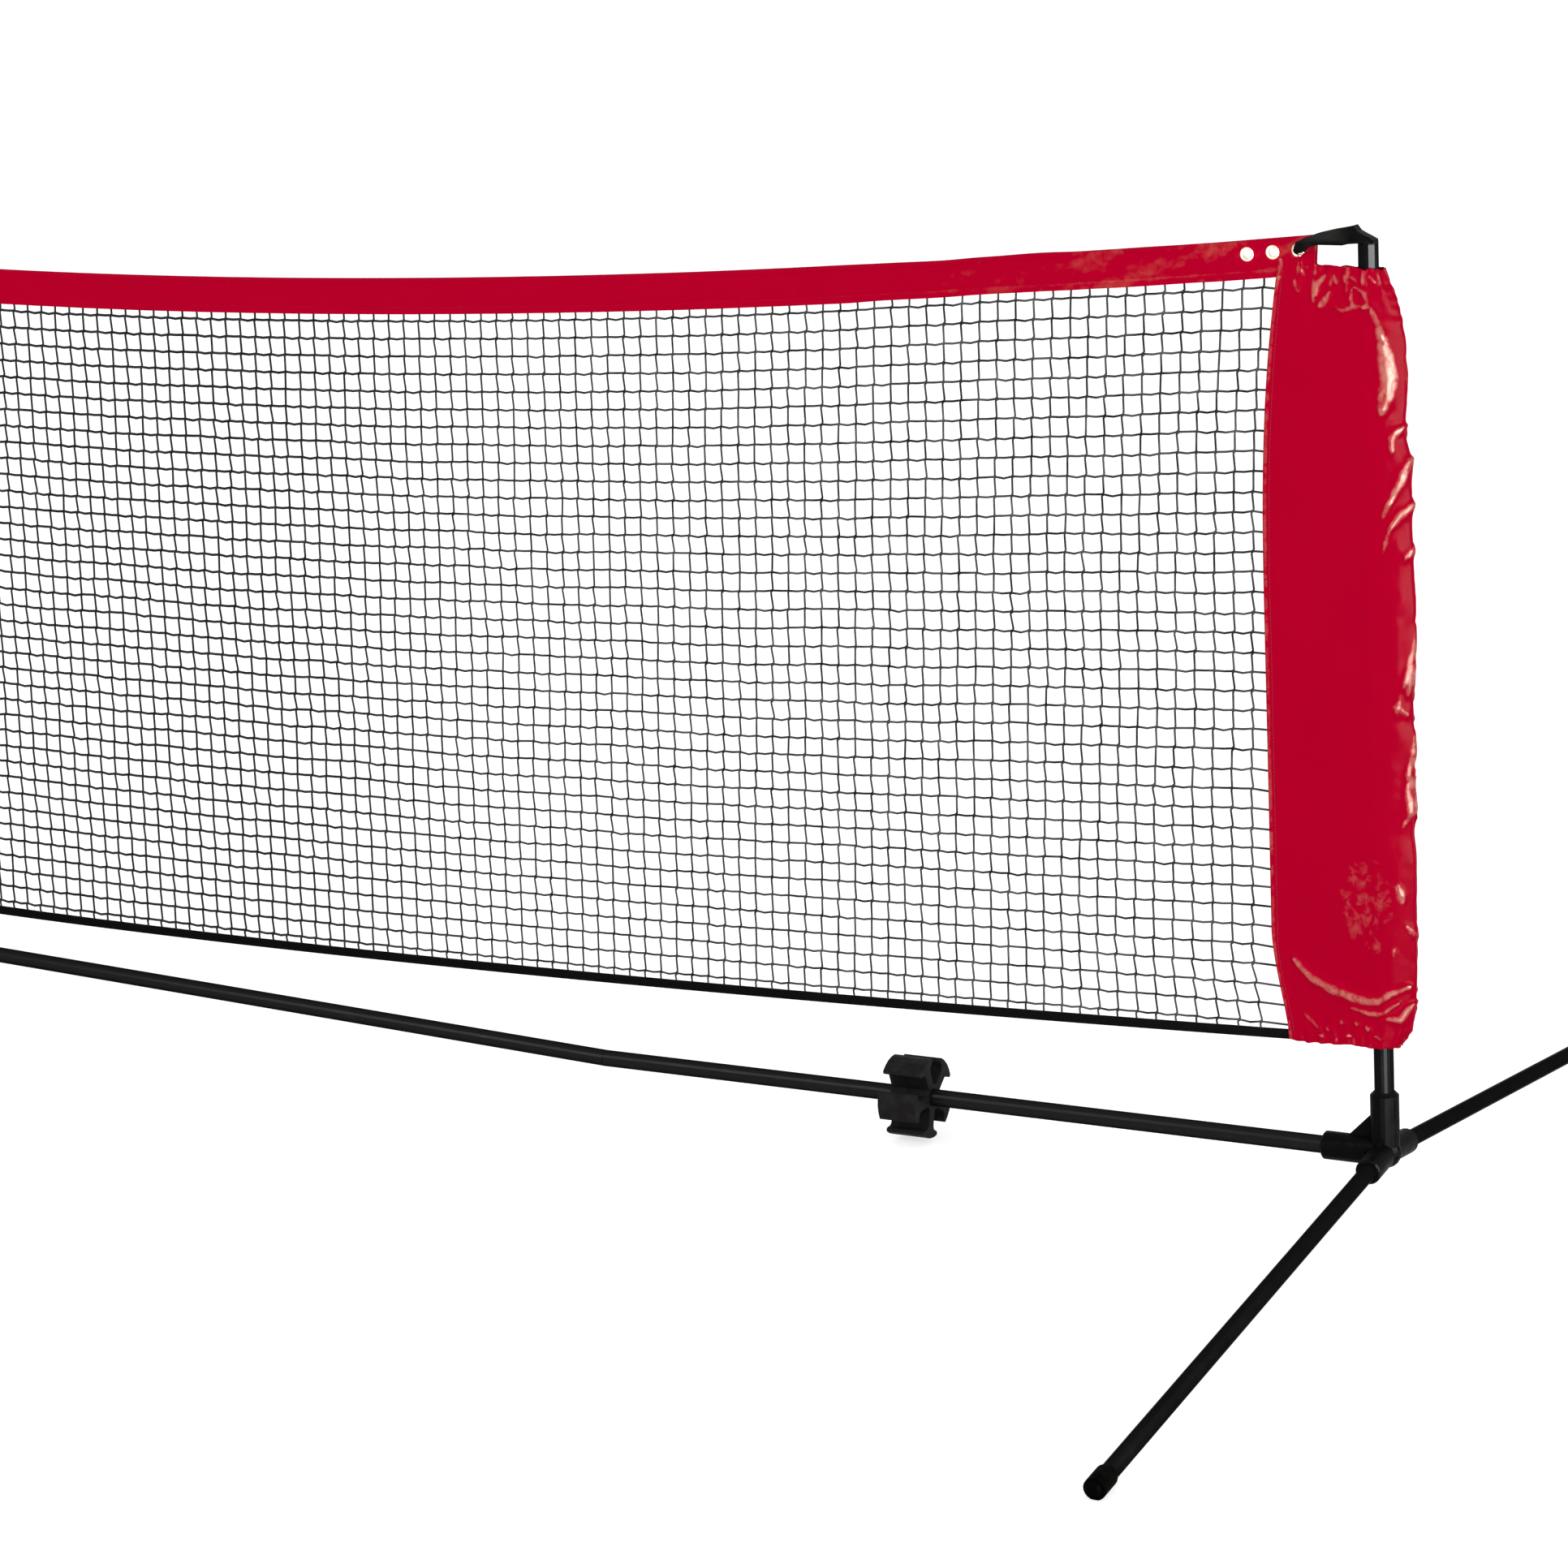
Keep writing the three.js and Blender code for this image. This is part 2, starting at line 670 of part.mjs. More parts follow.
// A push-on cap with a stepped, rounded end and a flat sole
function makeFootCap(foot) {
  const direction = foot.clone().sub(corner).normalize();
  const end = corner.distanceTo(foot);
  const bore = legRadius + seatGap;
  const floorPlate = end - footCapDome - footCapWall;
  const open = end - footCapLength;
  const step = footCapRadius - footCapStep;
  const profile = [
    [0, floorPlate], [bore, floorPlate], [bore, open], [footCapRadius - footCapWall / 3, open],
    [footCapRadius, open + footCapWall], [footCapRadius, end - footCapDome],
    [step, end - footCapDome + footCapStep / 3], [step, end - footCapStep],
    [step - footCapStep, end - footCapStep / 3], [0, end],
  ];
  const cap = toSolid(turned(profile, corner, direction));
  const size = footCapLength * 2;
  const floor = block(size, size, size, foot.x, foot.y, -size / 2);
  return toGeometry(cut(cap, [floor]));
}

// Tension hook: a plug in the post top, an arched arm and a peg through the last eyelet
function makeTensionHook() {
  const boreRadius = postDiameter / 2 - postWall - seatGap;
  const flangeStart = postHeight - hookFlangeThickness;
  const plug = rod(boreRadius, flangeStart - hookPlugLength, postHeight, corner, postDirection);
  const flange = rod(postDiameter / 2, flangeStart, postHeight, corner, postDirection);

  const eyelet = eyeletPlace(eyeletCount - 1);
  const reach = postTop.x - eyelet.x;
  const outline = hookArmShares.map(([way, rise]) => (
    [postTop.x - reach * way, postTop.z + hookRise * rise]
  ));
  const beforeBand = bandThickness / 2 + seatGap + eyeletFlangeThickness;
  const fingerMiddle = -(beforeBand + hookGap + hookFingerThickness / 2);
  const finger = plateXZ(outline, hookFingerThickness, fingerMiddle);

  // The thick part of the arm stops short of the band
  const size = reach + hookRise;
  const bandSide = block(size, size, size, bandHalfLength + hookGap - size / 2, 0, postTop.z);
  const root = cut(plateXZ(outline, hookArmThickness, 0), [bandSide]);

  const pegEnd = beforeBand + hookPegReach;
  const pegRadius = hookPegDiameter / 2;
  const peg = toSolid(turned([
    [0, fingerMiddle], [pegRadius, fingerMiddle], [pegRadius, pegEnd - hookPegNib],
    [pegRadius - hookPegNib, pegEnd], [0, pegEnd],
  ], eyelet, yAxis, smallSides));
  return toGeometry(join([plug, flange, root, finger, peg]));
}

// Storage clip: a hub on the base tube and arms with T-shaped ends

function clipArm(turn) {
  const half = clipArmShares.map(([across, out]) => [across * clipRadius, out * clipRadius]);
  const otherHalf = half.slice(0, -1).reverse().map(([across, out]) => [-across, out]);
  const outline = [...half, ...otherHalf].map(([across, out]) => new THREE.Vector2(across, out));
  const shape = new THREE.Shape(outline);
  const geometry = new THREE.ExtrudeGeometry(shape, { depth: clipLength, bevelEnabled: false });
  geometry.translate(0, 0, -clipLength / 2);
  geometry.rotateZ(turn);
  return toSolid(geometry);
}

function makeStorageClip() {
  const bore = baseTubeDiameter / 2 + seatGap;
  const origin = new THREE.Vector3();
  const half = clipLength / 2;
  const parts = [rod(bore + clipHubWall, -half, half, origin, zAxis)];
  for (let arm = 0; arm < clipArms; arm += 1) {
    parts.push(clipArm(-radians(clipTurnDegrees) + (arm / clipArms) * 2 * Math.PI));
  }
  const hole = rod(bore, -half - cutOverrun, half + cutOverrun, origin, zAxis);
  const geometry = toGeometry(cut(join(parts), [hole]));
  const towardCorner = baseDirection.clone().negate();
  const upright = towardCorner.clone().cross(yAxis).normalize();
  geometry.applyMatrix4(new THREE.Matrix4().makeBasis(yAxis, upright, yAxis.clone().cross(upright)));
  const middle = sectionJoint.clone().lerp(corner, clipPlaceShare);
  geometry.translate(middle.x, middle.y, middle.z);
  return geometry;
}

// Left-hand pieces are mirror images of the right-hand ones
function mirrored(geometry) {
  const solid = toSolid(geometry);
  return toGeometry(solid.mirror([1, 0, 0]));
}

const net = new THREE.Group();

function addMesh(name, geometry, material) {
  const mesh = new THREE.Mesh(geometry, material);
  mesh.name = name;
  net.add(mesh);
}

function addPair(name, geometry, material, ending = '') {
  addMesh(`${name}_right${ending}`, geometry, material);
  addMesh(`${name}_left${ending}`, mirrored(geometry), material);
}

addMesh('net_mesh', makeNetMesh(), finishes.blackMesh);
addMesh('top_band', makeTopBand(), finishes.redVinyl);
addMesh('bottom_hem', makeHem(), finishes.blackTape);
addPair('sleeve', makeSleeve(), finishes.redVinyl);
for (let index = 0; index < eyeletCount; index += 1) {
  addPair('eyelet', makeEyelet(index), finishes.eyeletMetal, `_${index + 1}`);
}
addPair('post', makePost(), finishes.blackSteel);
addPair('tension_hook', makeTensionHook(), finishes.blackPlastic);
addPair('corner_connector', makeConnector(), finishes.blackPlastic);
addPair('base_tube_outer', makeOuterBaseTube(), finishes.blackSteel);
addMesh('base_tube_inner_right', makeInnerBaseTube(true), finishes.blackSteel);
addMesh('base_tube_inner_left', mirrored(makeInnerBaseTube(false)), finishes.blackSteel);
addPair('leg_tube_front', makeLegTube(frontFoot), finishes.blackSteel);
addPair('leg_tube_back', makeLegTube(backFoot), finishes.blackSteel);
addPair('foot_cap_front', makeFootCap(frontFoot), finishes.blackPlastic);
addPair('foot_cap_back', makeFootCap(backFoot), finishes.blackPlastic);
addPair('storage_clip', makeStorageClip(), finishes.blackPlastic);

export default net;
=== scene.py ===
"""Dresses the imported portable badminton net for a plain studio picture. Metres, +Z up."""
import math
import random

import bpy
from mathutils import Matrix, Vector, noise


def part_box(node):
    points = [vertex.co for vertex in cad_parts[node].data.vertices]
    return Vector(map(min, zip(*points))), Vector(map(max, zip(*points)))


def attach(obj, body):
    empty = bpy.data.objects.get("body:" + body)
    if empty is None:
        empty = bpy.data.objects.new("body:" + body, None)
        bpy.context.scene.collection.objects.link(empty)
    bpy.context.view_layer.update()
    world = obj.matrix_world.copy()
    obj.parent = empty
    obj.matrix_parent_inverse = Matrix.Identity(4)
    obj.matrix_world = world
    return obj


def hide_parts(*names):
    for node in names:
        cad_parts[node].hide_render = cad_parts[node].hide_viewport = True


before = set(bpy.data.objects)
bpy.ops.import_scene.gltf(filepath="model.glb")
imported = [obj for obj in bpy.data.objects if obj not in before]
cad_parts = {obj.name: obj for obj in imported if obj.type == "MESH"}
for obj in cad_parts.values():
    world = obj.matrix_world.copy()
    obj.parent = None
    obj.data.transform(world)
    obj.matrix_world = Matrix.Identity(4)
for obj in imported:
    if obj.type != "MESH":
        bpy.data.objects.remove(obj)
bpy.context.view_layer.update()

MM = 0.001
SIDES = {"right": 1, "left": -1}

# Seed of the noise vectors that make the mesh wander
NOISE_SEED = 11

# Camera, fitted to the photograph
CAMERA_PLACE = (2.7933, -3.3088, 1.2678)
CAMERA_PITCH = 0.2451
CAMERA_YAW = 0.4974
CAMERA_LENS = 95.51

# Level of the light on the object, where 1 is white
LIGHT_LEVEL = 0.62

# Frame of the net, as in the solids
HALF_SPAN = 1.6
CORNER_HEIGHT = 0.064
POST_LEAN = math.radians(3.24)
POST_RADIUS = 0.00875
BAND_HALF_LENGTH = max(abs(place[0]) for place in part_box("top_band"))
BAND_END_HEIGHT = 0.87752
BAND_SAG = 0.1259
BAND_SAG_POWER = 1.78
BAND_DEPTH = 0.033
BAND_HALF_THICKNESS = 1.3 * MM
STITCH_SHARE = 0.8
STITCH_DEPTH = 0.5 * MM
BAND_CLOTH = 0.45 * MM
BAND_LEAST_SWELL = -0.3 * MM
HEM_END_HEIGHT = 0.166
HEM_SAG = 0.0891
HEM_SAG_POWER = 1.47
HEM_HALF_DEPTH = 4.5 * MM
HEM_HALF_THICKNESS = 1.6 * MM
HEM_HALF_LENGTH = 1.5137
HEM_CLOTH = 0.5 * MM
HEM_STATIONS = 400

# Where the band's ends are folded over, how much that adds, and where the fold is sewn down
BAND_FOLD = (1.4905, 1.4915)
BAND_FOLD_THICKNESS = 0.7 * MM
BAND_FOLD_SEAM = 1.4935

# Knotted mesh
COLUMNS_PER_SIDE = 84
LAST_COLUMN = 1.455
MESH_ROWS = 38
STRAND_RADIUS = 1.2 * MM
KNOT_RADIUS = 2.1 * MM
KNOT_HALF_HEIGHT = 2.2 * MM

# How far the cords lie in front of or behind the middle of the mesh, and by how much that varies, in mm
CORD_OFFSET = 0.35
CORD_WANDER = 0.3

# The sleeve's edge draws the last columns along: where it would leave them alone, how much and how steeply
EDGE_USUAL = 1.4616
EDGE_PULL = 0.55
EDGE_PULL_POWER = 14

# Sleeves
SLEEVE_BOTTOM = 0.156
SLEEVE_TOP = 0.8401
SLEEVE_INBOARD = 0.103
SLEEVE_HALF_THICKNESS = 0.0145
SLEEVE_EDGE = 1.9 * MM
SLEEVE_NECK = 0.0105
SLEEVE_BOTTOM_RISE = 0.113
SLEEVE_COLUMNS = 168
SLEEVE_ROWS = 260
CLOTH = 0.6 * MM
SEAM_TURN = 0.955

# What the heights of the drawn folds are multiplied by, how slim the painted highlight beside them is, and
# the fold height at which that highlight is full
FOLD_GAIN = 1.35
HIGHLIGHT_SLIM = 0.62
HIGHLIGHT_FULL_HEIGHT = 1.7

# Gathers at the sleeve's ends: radians of them from the outer side to the seam, drift with height, phase
GATHERS = 46
GATHER_DRIFT = 9
GATHER_PHASE = 1.7

# A mottled patch of painted sheen on the sleeve's face: middle and half size, in mm
SHEEN_PATCH = (-7, 287, 37, 57)

# Shares of the half span, and how far the band's upper and lower edges lie above the plain curve there, in mm
BAND_WANDER = [
    (0, 1.0, -0.6), (0.56, 0.9, -0.3), (0.62, 1.1, 0), (0.66, 1.3, 0.1), (0.69, 1.1, 1.2), (0.72, 0.7, 1.3),
    (0.75, 1.7, 2.1), (0.78, 2.3, 1.8), (0.81, 1.2, 1.2), (0.84, 1.0, 0.6), (0.87, 0.5, 0.5), (0.89, 0.3, 0),
    (1, 0.2, 0),
]

# Eyelets at each end of the band
EYELET_SPACING = 0.0234
EYELET_INSET = 0.016
EYELET_DROP = 0.0113
EYELET_HOLE = 3.8 * MM
EYELET_FLANGE = 6.2 * MM
EYELET_ROLL = 1.1 * MM
EYELET_WALL = 0.55 * MM
EYELET_SIDES = 40
EYELET_CUT = 4.7 * MM

# How far the sleeve reaches past the post axis, in mm, at heights in mm
OUTER_EDGE = [
    (156, 16.5), (164, 22), (170, 26.5), (182, 29.2), (195, 31), (220, 32.5), (265, 32.2), (323, 33.2),
    (352, 31.5), (410, 31.8), (440, 33.4), (468, 32.8), (525, 34.8), (553, 36.6), (582, 34.8), (640, 34.6),
    (680, 33.6), (700, 30.6), (750, 31.2), (780, 30.6), (796, 29.4), (804, 27.5), (813, 25.2), (821, 22.4),
    (829, 18), (841, 14.5),
]

# Folds of the sleeve's face, which also place its painted highlights: points in mm from the post axis and
# above the floor, width, height
FOLDS = [
    ([(-37, 833), (-46, 822), (-48, 809)], 4, 2.0),
    ([(-33, 818), (-38, 811), (-43, 806)], 5, 1.6),
    ([(-29, 832), (-27, 825)], 3, 1.2),
    ([(-13, 832), (-7, 829)], 3, 1.2),
    ([(-12, 822), (-13, 814), (-10, 808)], 3, 1.2),
    ([(-60, 833), (-57, 826)], 2.8, 1.2),
    ([(-66, 822), (-62, 812)], 3, 1.1),
    ([(-20, 834), (-18, 828)], 2.8, 1.2),
    ([(4, 834), (9, 828)], 2.8, 1.3),
    ([(-10, 824), (0, 821), (3, 813), (0, 808)], 3, 1.2),
    ([(-27, 806), (-20, 804), (-8, 808), (5, 809)], 3.5, 1.2),
    ([(6, 806), (12, 793), (16, 781)], 4.5, 1.8),
    ([(14, 786), (18, 768), (20, 750), (18, 736), (14, 720)], 9, 2.8),
    ([(33, 801), (33, 774), (33, 748), (34, 716)], 3.5, 1.4),
    ([(29, 708), (21, 698), (22, 686)], 4, 1.8),
    ([(33, 680), (28, 661), (18, 640)], 4.2, 2.2),
    ([(20, 645), (13, 628)], 3, 1.8),
    ([(38, 644), (28, 633), (19, 620)], 4, 2.2),
    ([(20, 622), (16, 610), (13, 598)], 2.6, 1.6),
    ([(39, 606), (30, 595)], 4, 1.6),
    ([(37, 504), (32, 487), (30, 476)], 4, 1.6),
    ([(20, 466), (30, 457)], 4, 1.6),
    ([(36, 433), (33, 414)], 3, 1.2),
    ([(28, 406), (34, 390), (29, 368)], 4, 1.6),
    ([(20, 305), (24, 291)], 4, 1.4),
    ([(-79, 232), (-71, 224), (-61, 216), (-49, 210), (-33, 204), (-16, 199), (2, 201), (12, 207),
      (27, 213)], 5.4, 2.4),
    ([(8, 184), (19, 183), (29, 197)], 4.5, 2.0),
    ([(-72, 184), (-64, 176), (-57, 170)], 3, 1.0),
    ([(26, 269), (33, 258)], 3.5, 1.2),
    ([(15, 248), (16, 241)], 3, 0.9),
    ([(-50, 172), (-48, 168)], 2.4, 1.5),
    ([(-36, 179), (-34, 175)], 2.4, 1.5),
    ([(-22, 179), (-20, 175)], 2.4, 1.5),
    ([(-12, 176), (-9, 172)], 2.6, 1.6),
    ([(-31, 165), (-27, 164)], 2.4, 1.4),
    ([(-57, 164), (-53, 163)], 2.4, 1.4),
    ([(-4, 168), (3, 165)], 2.4, 1.4),
    ([(-25, 191), (-8, 188), (6, 190), (19, 199)], 3.4, 1.6),
    ([(35, 443), (32, 421), (29, 404)], 3.2, 1.4),
    ([(28, 395), (28, 383), (30, 369), (24, 357)], 3.0, 1.5),
    ([(36, 534), (35, 516), (31, 498), (27, 482)], 3.2, 1.5),
    ([(24, 471), (21, 459)], 2.8, 1.4),
]


def smoothstep(x, low, high):
    t = min(1, max(0, (x - low) / (high - low)))
    return t * t * (3 - 2 * t)


def mix(a, b, t):
    return a + (b - a) * t


def band_top(x):
    return BAND_END_HEIGHT - BAND_SAG * (1 - abs(x / HALF_SPAN) ** BAND_SAG_POWER)


def band_wander(x, edge):
    """How far an edge of the band, 1 the upper and 2 the lower, strays from the plain curve."""
    share = min(1, abs(x) / HALF_SPAN)
    for first, second in zip(BAND_WANDER, BAND_WANDER[1:]):
        if share <= second[0]:
            return mix(first[edge], second[edge], smoothstep(share, first[0], second[0])) * MM
    return 0.0


def hem_middle(x):
    return HEM_END_HEIGHT - HEM_SAG * (1 - abs(x / HALF_SPAN) ** HEM_SAG_POWER)


def post_x(z):
    return HALF_SPAN - (z - CORNER_HEIGHT) * math.tan(POST_LEAN)


# Meshes

def add_object(name, points, faces, smooth=True):
    mesh = bpy.data.meshes.new(name)
    mesh.from_pydata(points, [], faces)
    mesh.update()
    if smooth:
        mesh.polygons.foreach_set("use_smooth", [True] * len(mesh.polygons))
    thing = bpy.data.objects.new(name, mesh)
    bpy.context.scene.collection.objects.link(thing)
    return thing


def grid_faces(rows, columns, keep=None, closed=False):
    """Quads over rows of columns points each; keep(row, column) says which stay."""
    faces = []
    last = columns if closed else columns - 1
    for r in range(rows - 1):
        for c in range(last):
            if keep is None or keep(r, c):
                d = (c + 1) % columns
                faces.append((r * columns + c, r * columns + d, (r + 1) * columns + d, (r + 1) * columns + c))
    return faces


def thicken(thing, thickness):
    """Gives an open sheet its thickness, on the side away from its normals."""
    solidify = thing.modifiers.new("cloth", "SOLIDIFY")
    solidify.thickness = thickness
    solidify.offset = -1.0


def add_painted_highlight(thing, values):
    """Tells the coated fabric's material how much painted highlight, pale and glossier, each point gets."""
    crease = thing.data.attributes.new("crease", "FLOAT", "POINT")
    crease.data.foreach_set("value", values)


def dress(thing, finish, body="root", replaced=()):
    """Gives a new piece its material, its body and the nodes it stands for."""
    thing.data.materials.append(finish)
    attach(thing, body)
    if replaced:
        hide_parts(*replaced)
    return thing


# Materials

def new_material(name, colour, roughness, specular=0.5, metallic=0.0):
    finish = bpy.data.materials.new(name)
    finish.use_nodes = True
    tree = finish.node_tree
    shader = tree.nodes["Principled BSDF"]
    shader.inputs["Base Color"].default_value = (*colour, 1)
    shader.inputs["Roughness"].default_value = roughness
    shader.inputs["Specular IOR Level"].default_value = specular
    shader.inputs["Metallic"].default_value = metallic
    return finish, tree, shader


def place_node(tree, stretch=(1, 1, 1)):
    """Where on the piece a texture is, stretched along the axes."""
    place = tree.nodes.new("ShaderNodeTexCoord")
    mapping = tree.nodes.new("ShaderNodeMapping")
    mapping.inputs["Scale"].default_value = stretch
    tree.links.new(place.outputs["Object"], mapping.inputs["Vector"])
    return mapping.outputs["Vector"]


def noise_node(tree, scale, detail=3, stretch=(1, 1, 1), distortion=0.0):
    texture = tree.nodes.new("ShaderNodeTexNoise")
    texture.inputs["Scale"].default_value = scale
    texture.inputs["Detail"].default_value = detail
    texture.inputs["Distortion"].default_value = distortion
    tree.links.new(place_node(tree, stretch), texture.inputs["Vector"])
    return texture.outputs["Fac"]


def wave_node(tree, scale, direction, distortion=0.0):
    texture = tree.nodes.new("ShaderNodeTexWave")
    texture.bands_direction = direction
    texture.inputs["Scale"].default_value = scale
    texture.inputs["Distortion"].default_value = distortion
    tree.links.new(place_node(tree), texture.inputs["Vector"])
    return texture.outputs["Fac"]


def scaled(tree, value, low, high, start=0.0, end=1.0):
    """Maps a texture's value from start..end to low..high."""
    node = tree.nodes.new("ShaderNodeMapRange")
    node.inputs["From Min"].default_value = start
    node.inputs["From Max"].default_value = end
    node.inputs["To Min"].default_value = low
    node.inputs["To Max"].default_value = high
    tree.links.new(value, node.inputs["Value"])
    return node.outputs["Result"]


def two_colours(tree, value, first, second):
    node = tree.nodes.new("ShaderNodeMix")
    node.data_type = "RGBA"
    tree.links.new(value, node.inputs["Factor"])
    node.inputs["A"].default_value = (*first, 1)
    node.inputs["B"].default_value = (*second, 1)
    return node.outputs["Result"]


def maths(tree, operation, first, second):
    node = tree.nodes.new("ShaderNodeMath")
    node.operation = operation
    for place, value in zip(node.inputs, (first, second)):
        if isinstance(value, (int, float)):
            place.default_value = value
        else:
            tree.links.new(value, place)
    return node.outputs["Value"]


def bump(tree, shader, height, strength, distance):
    """Adds a bump over the bumps that the shader already has."""
    node = tree.nodes.new("ShaderNodeBump")
    node.inputs["Strength"].default_value = strength
    node.inputs["Distance"].default_value = distance
    tree.links.new(height, node.inputs["Height"])
    socket = shader.inputs["Normal"]
    if socket.links:
        tree.links.new(socket.links[0].from_socket, node.inputs["Normal"])
    tree.links.new(node.outputs["Normal"], socket)


def vinyl(name, colour, darker, painted_highlight_colour, blotch, crinkle):
    """Glossy coated fabric: a fine weave under the coating, crinkles, a blotchy sheen, and a painted
    highlight, pale and glossier, where the crease attribute is high.
    """
    finish, tree, shader = new_material(name, colour, 0.2, specular=0.08)
    shader.inputs["Specular Tint"].default_value = (1.0, 0.9, 0.74, 1)
    tone = scaled(tree, noise_node(tree, 9, 4), 0, 1, 0.35, 0.7)
    plain = two_colours(tree, tone, colour, darker)
    # Painted highlight: where the crease attribute is high, the red is mixed towards the pale colour and the
    # specular level rises.
    crease = tree.nodes.new("ShaderNodeAttribute")
    crease.attribute_name = "crease"
    patches = scaled(tree, noise_node(tree, 110, 4, distortion=1.0), 0.4, 1.3, 0.3, 0.7)
    wear_and_painted_highlight = scaled(tree, maths(tree, "MULTIPLY", crease.outputs["Fac"], patches), 0, 1, 0.25, 1.0)
    plain_and_painted_highlight = two_colours(tree, maths(tree, "MULTIPLY", wear_and_painted_highlight, 0.62), colour, painted_highlight_colour)
    tree.links.new(plain, plain_and_painted_highlight.node.inputs["A"])
    tree.links.new(plain_and_painted_highlight, shader.inputs["Base Color"])
    tree.links.new(scaled(tree, wear_and_painted_highlight, 0.005, 0.13), shader.inputs["Specular IOR Level"])
    sheen = scaled(tree, noise_node(tree, blotch, 4, distortion=0.6), 0.13, 0.30, 0.35, 0.65)
    tree.links.new(sheen, shader.inputs["Roughness"])
    weave = maths(tree, "ADD", wave_node(tree, 420, "X"), wave_node(tree, 420, "Z"))
    bump(tree, shader, weave, 0.10, 0.12 * MM)
    bump(tree, shader, noise_node(tree, crinkle, 4, distortion=0.4), 0.35, 1.3 * MM)
    return finish


def black_paint(name, level, edge):
    """Semi-gloss paint on steel tube, with faint scuffs and a slightly uneven gloss."""
    finish, tree, shader = new_material(name, (level, level, level), 0.22, specular=0.0, metallic=0.5)
    shader.inputs["Specular Tint"].default_value = (edge, edge, edge, 1)
    scuff = scaled(tree, noise_node(tree, 60, 5, (1, 1, 7)), 0, 1, 0.62, 0.78)
    scuffed = 1.6 * level
    tone = two_colours(tree, scuff, (level, level, level), (scuffed, scuffed, scuffed))
    tree.links.new(tone, shader.inputs["Base Color"])
    tree.links.new(scaled(tree, noise_node(tree, 35, 4), 0.18, 0.28, 0.3, 0.7), shader.inputs["Roughness"])
    bump(tree, shader, noise_node(tree, 900, 2), 0.06, 0.1 * MM)
    return finish


def black_plastic(name, colour, wear_and_painted_highlight, roughness=0.42, specular=0.012):
    """Moulded plastic with a fine grain, edges a little lighter from wear, and painted shade that darkens its
    hollows and the gaps between parts.
    """
    finish, tree, shader = new_material(name, colour, roughness, specular)
    shape = tree.nodes.new("ShaderNodeNewGeometry")
    edge = scaled(tree, shape.outputs["Pointiness"], 0, 1, 0.52, 0.60)
    rub_and_painted_highlight_mask = maths(tree, "MULTIPLY", edge, scaled(tree, noise_node(tree, 120, 4), 0.1, 1, 0.4, 0.7))
    # Painted shade: in hollows and between parts the colour darkens towards a third of itself, by ambient
    # occlusion.
    hollow = tree.nodes.new("ShaderNodeAmbientOcclusion")
    hollow.inputs["Distance"].default_value = 18 * MM
    hollow.samples = 6
    open_share = scaled(tree, hollow.outputs["AO"], 0, 1, 0.25, 0.9)
    with_painted_shade = two_colours(tree, open_share, tuple(c * 0.3 for c in colour), wear_and_painted_highlight)
    tree.links.new(two_colours(tree, rub_and_painted_highlight_mask, colour, wear_and_painted_highlight), with_painted_shade.node.inputs["B"])
    tree.links.new(with_painted_shade, shader.inputs["Base Color"])
    uneven = scaled(tree, noise_node(tree, 90, 4), roughness - 0.08, roughness + 0.12, 0.3, 0.7)
    tree.links.new(uneven, shader.inputs["Roughness"])
    bump(tree, shader, noise_node(tree, 1500, 2), 0.18, 0.15 * MM)
    bump(tree, shader, noise_node(tree, 160, 2), 0.10, 0.4 * MM)
    return finish


def hook_plastic(name):
    """The connector's plastic, with a lighter painted highlight along the middle of the upper part of the
    hook's arm.
    """
    finish = black_plastic(name, (0.0030, 0.0029, 0.0028), (0.016, 0.015, 0.014), 0.36)
    tree = finish.node_tree
    socket = tree.nodes["Principled BSDF"].inputs["Base Color"]
    # Painted highlight: the upper middle of the hook's arm is mixed towards a lighter colour, broken up by
    # noise.
    place = tree.nodes.new("ShaderNodeNewGeometry")
    parts = tree.nodes.new("ShaderNodeSeparateXYZ")
    tree.links.new(place.outputs["Position"], parts.inputs["Vector"])
    along = maths(tree, "ABSOLUTE", parts.outputs["X"], 0)
    inner = scaled(tree, along, 0, 1, 1.492, 1.508)
    outer = scaled(tree, along, 1, 0, 1.524, 1.542)
    upper = scaled(tree, parts.outputs["Z"], 0, 1, 0.8595, 0.8635)
    arm = maths(tree, "MULTIPLY", maths(tree, "MULTIPLY", inner, outer), upper)
    rub_and_painted_highlight_mask = maths(tree, "MULTIPLY", arm, scaled(tree, noise_node(tree, 240), 0.6, 1))
    with_painted_highlight = two_colours(tree, rub_and_painted_highlight_mask, (0, 0, 0), (0.030, 0.030, 0.029))
    tree.links.new(socket.links[0].from_socket, with_painted_highlight.node.inputs["A"])
    tree.links.new(with_painted_highlight, socket)
    return finish


def net_cord(name):
    """Twisted cord, paler where it has faded and towards the ends of the net."""
    finish, tree, shader = new_material(name, (0.06, 0.06, 0.063), 0.85, specular=0.01)
    tone = scaled(tree, noise_node(tree, 42, 3), 0, 1, 0.38, 0.66)
    parts = tree.nodes.new("ShaderNodeSeparateXYZ")
    tree.links.new(place_node(tree), parts.inputs["Vector"])
    ends = scaled(tree, maths(tree, "ABSOLUTE", parts.outputs["X"], 0), 0.3, 1, 0.4, 1.1)
    fading = maths(tree, "MULTIPLY", tone, ends)
    faded = two_colours(tree, fading, (0.020, 0.020, 0.022), (0.14, 0.14, 0.145))
    tree.links.new(faded, shader.inputs["Base Color"])
    bump(tree, shader, wave_node(tree, 700, "DIAGONAL"), 0.4, 0.2 * MM)
    return finish


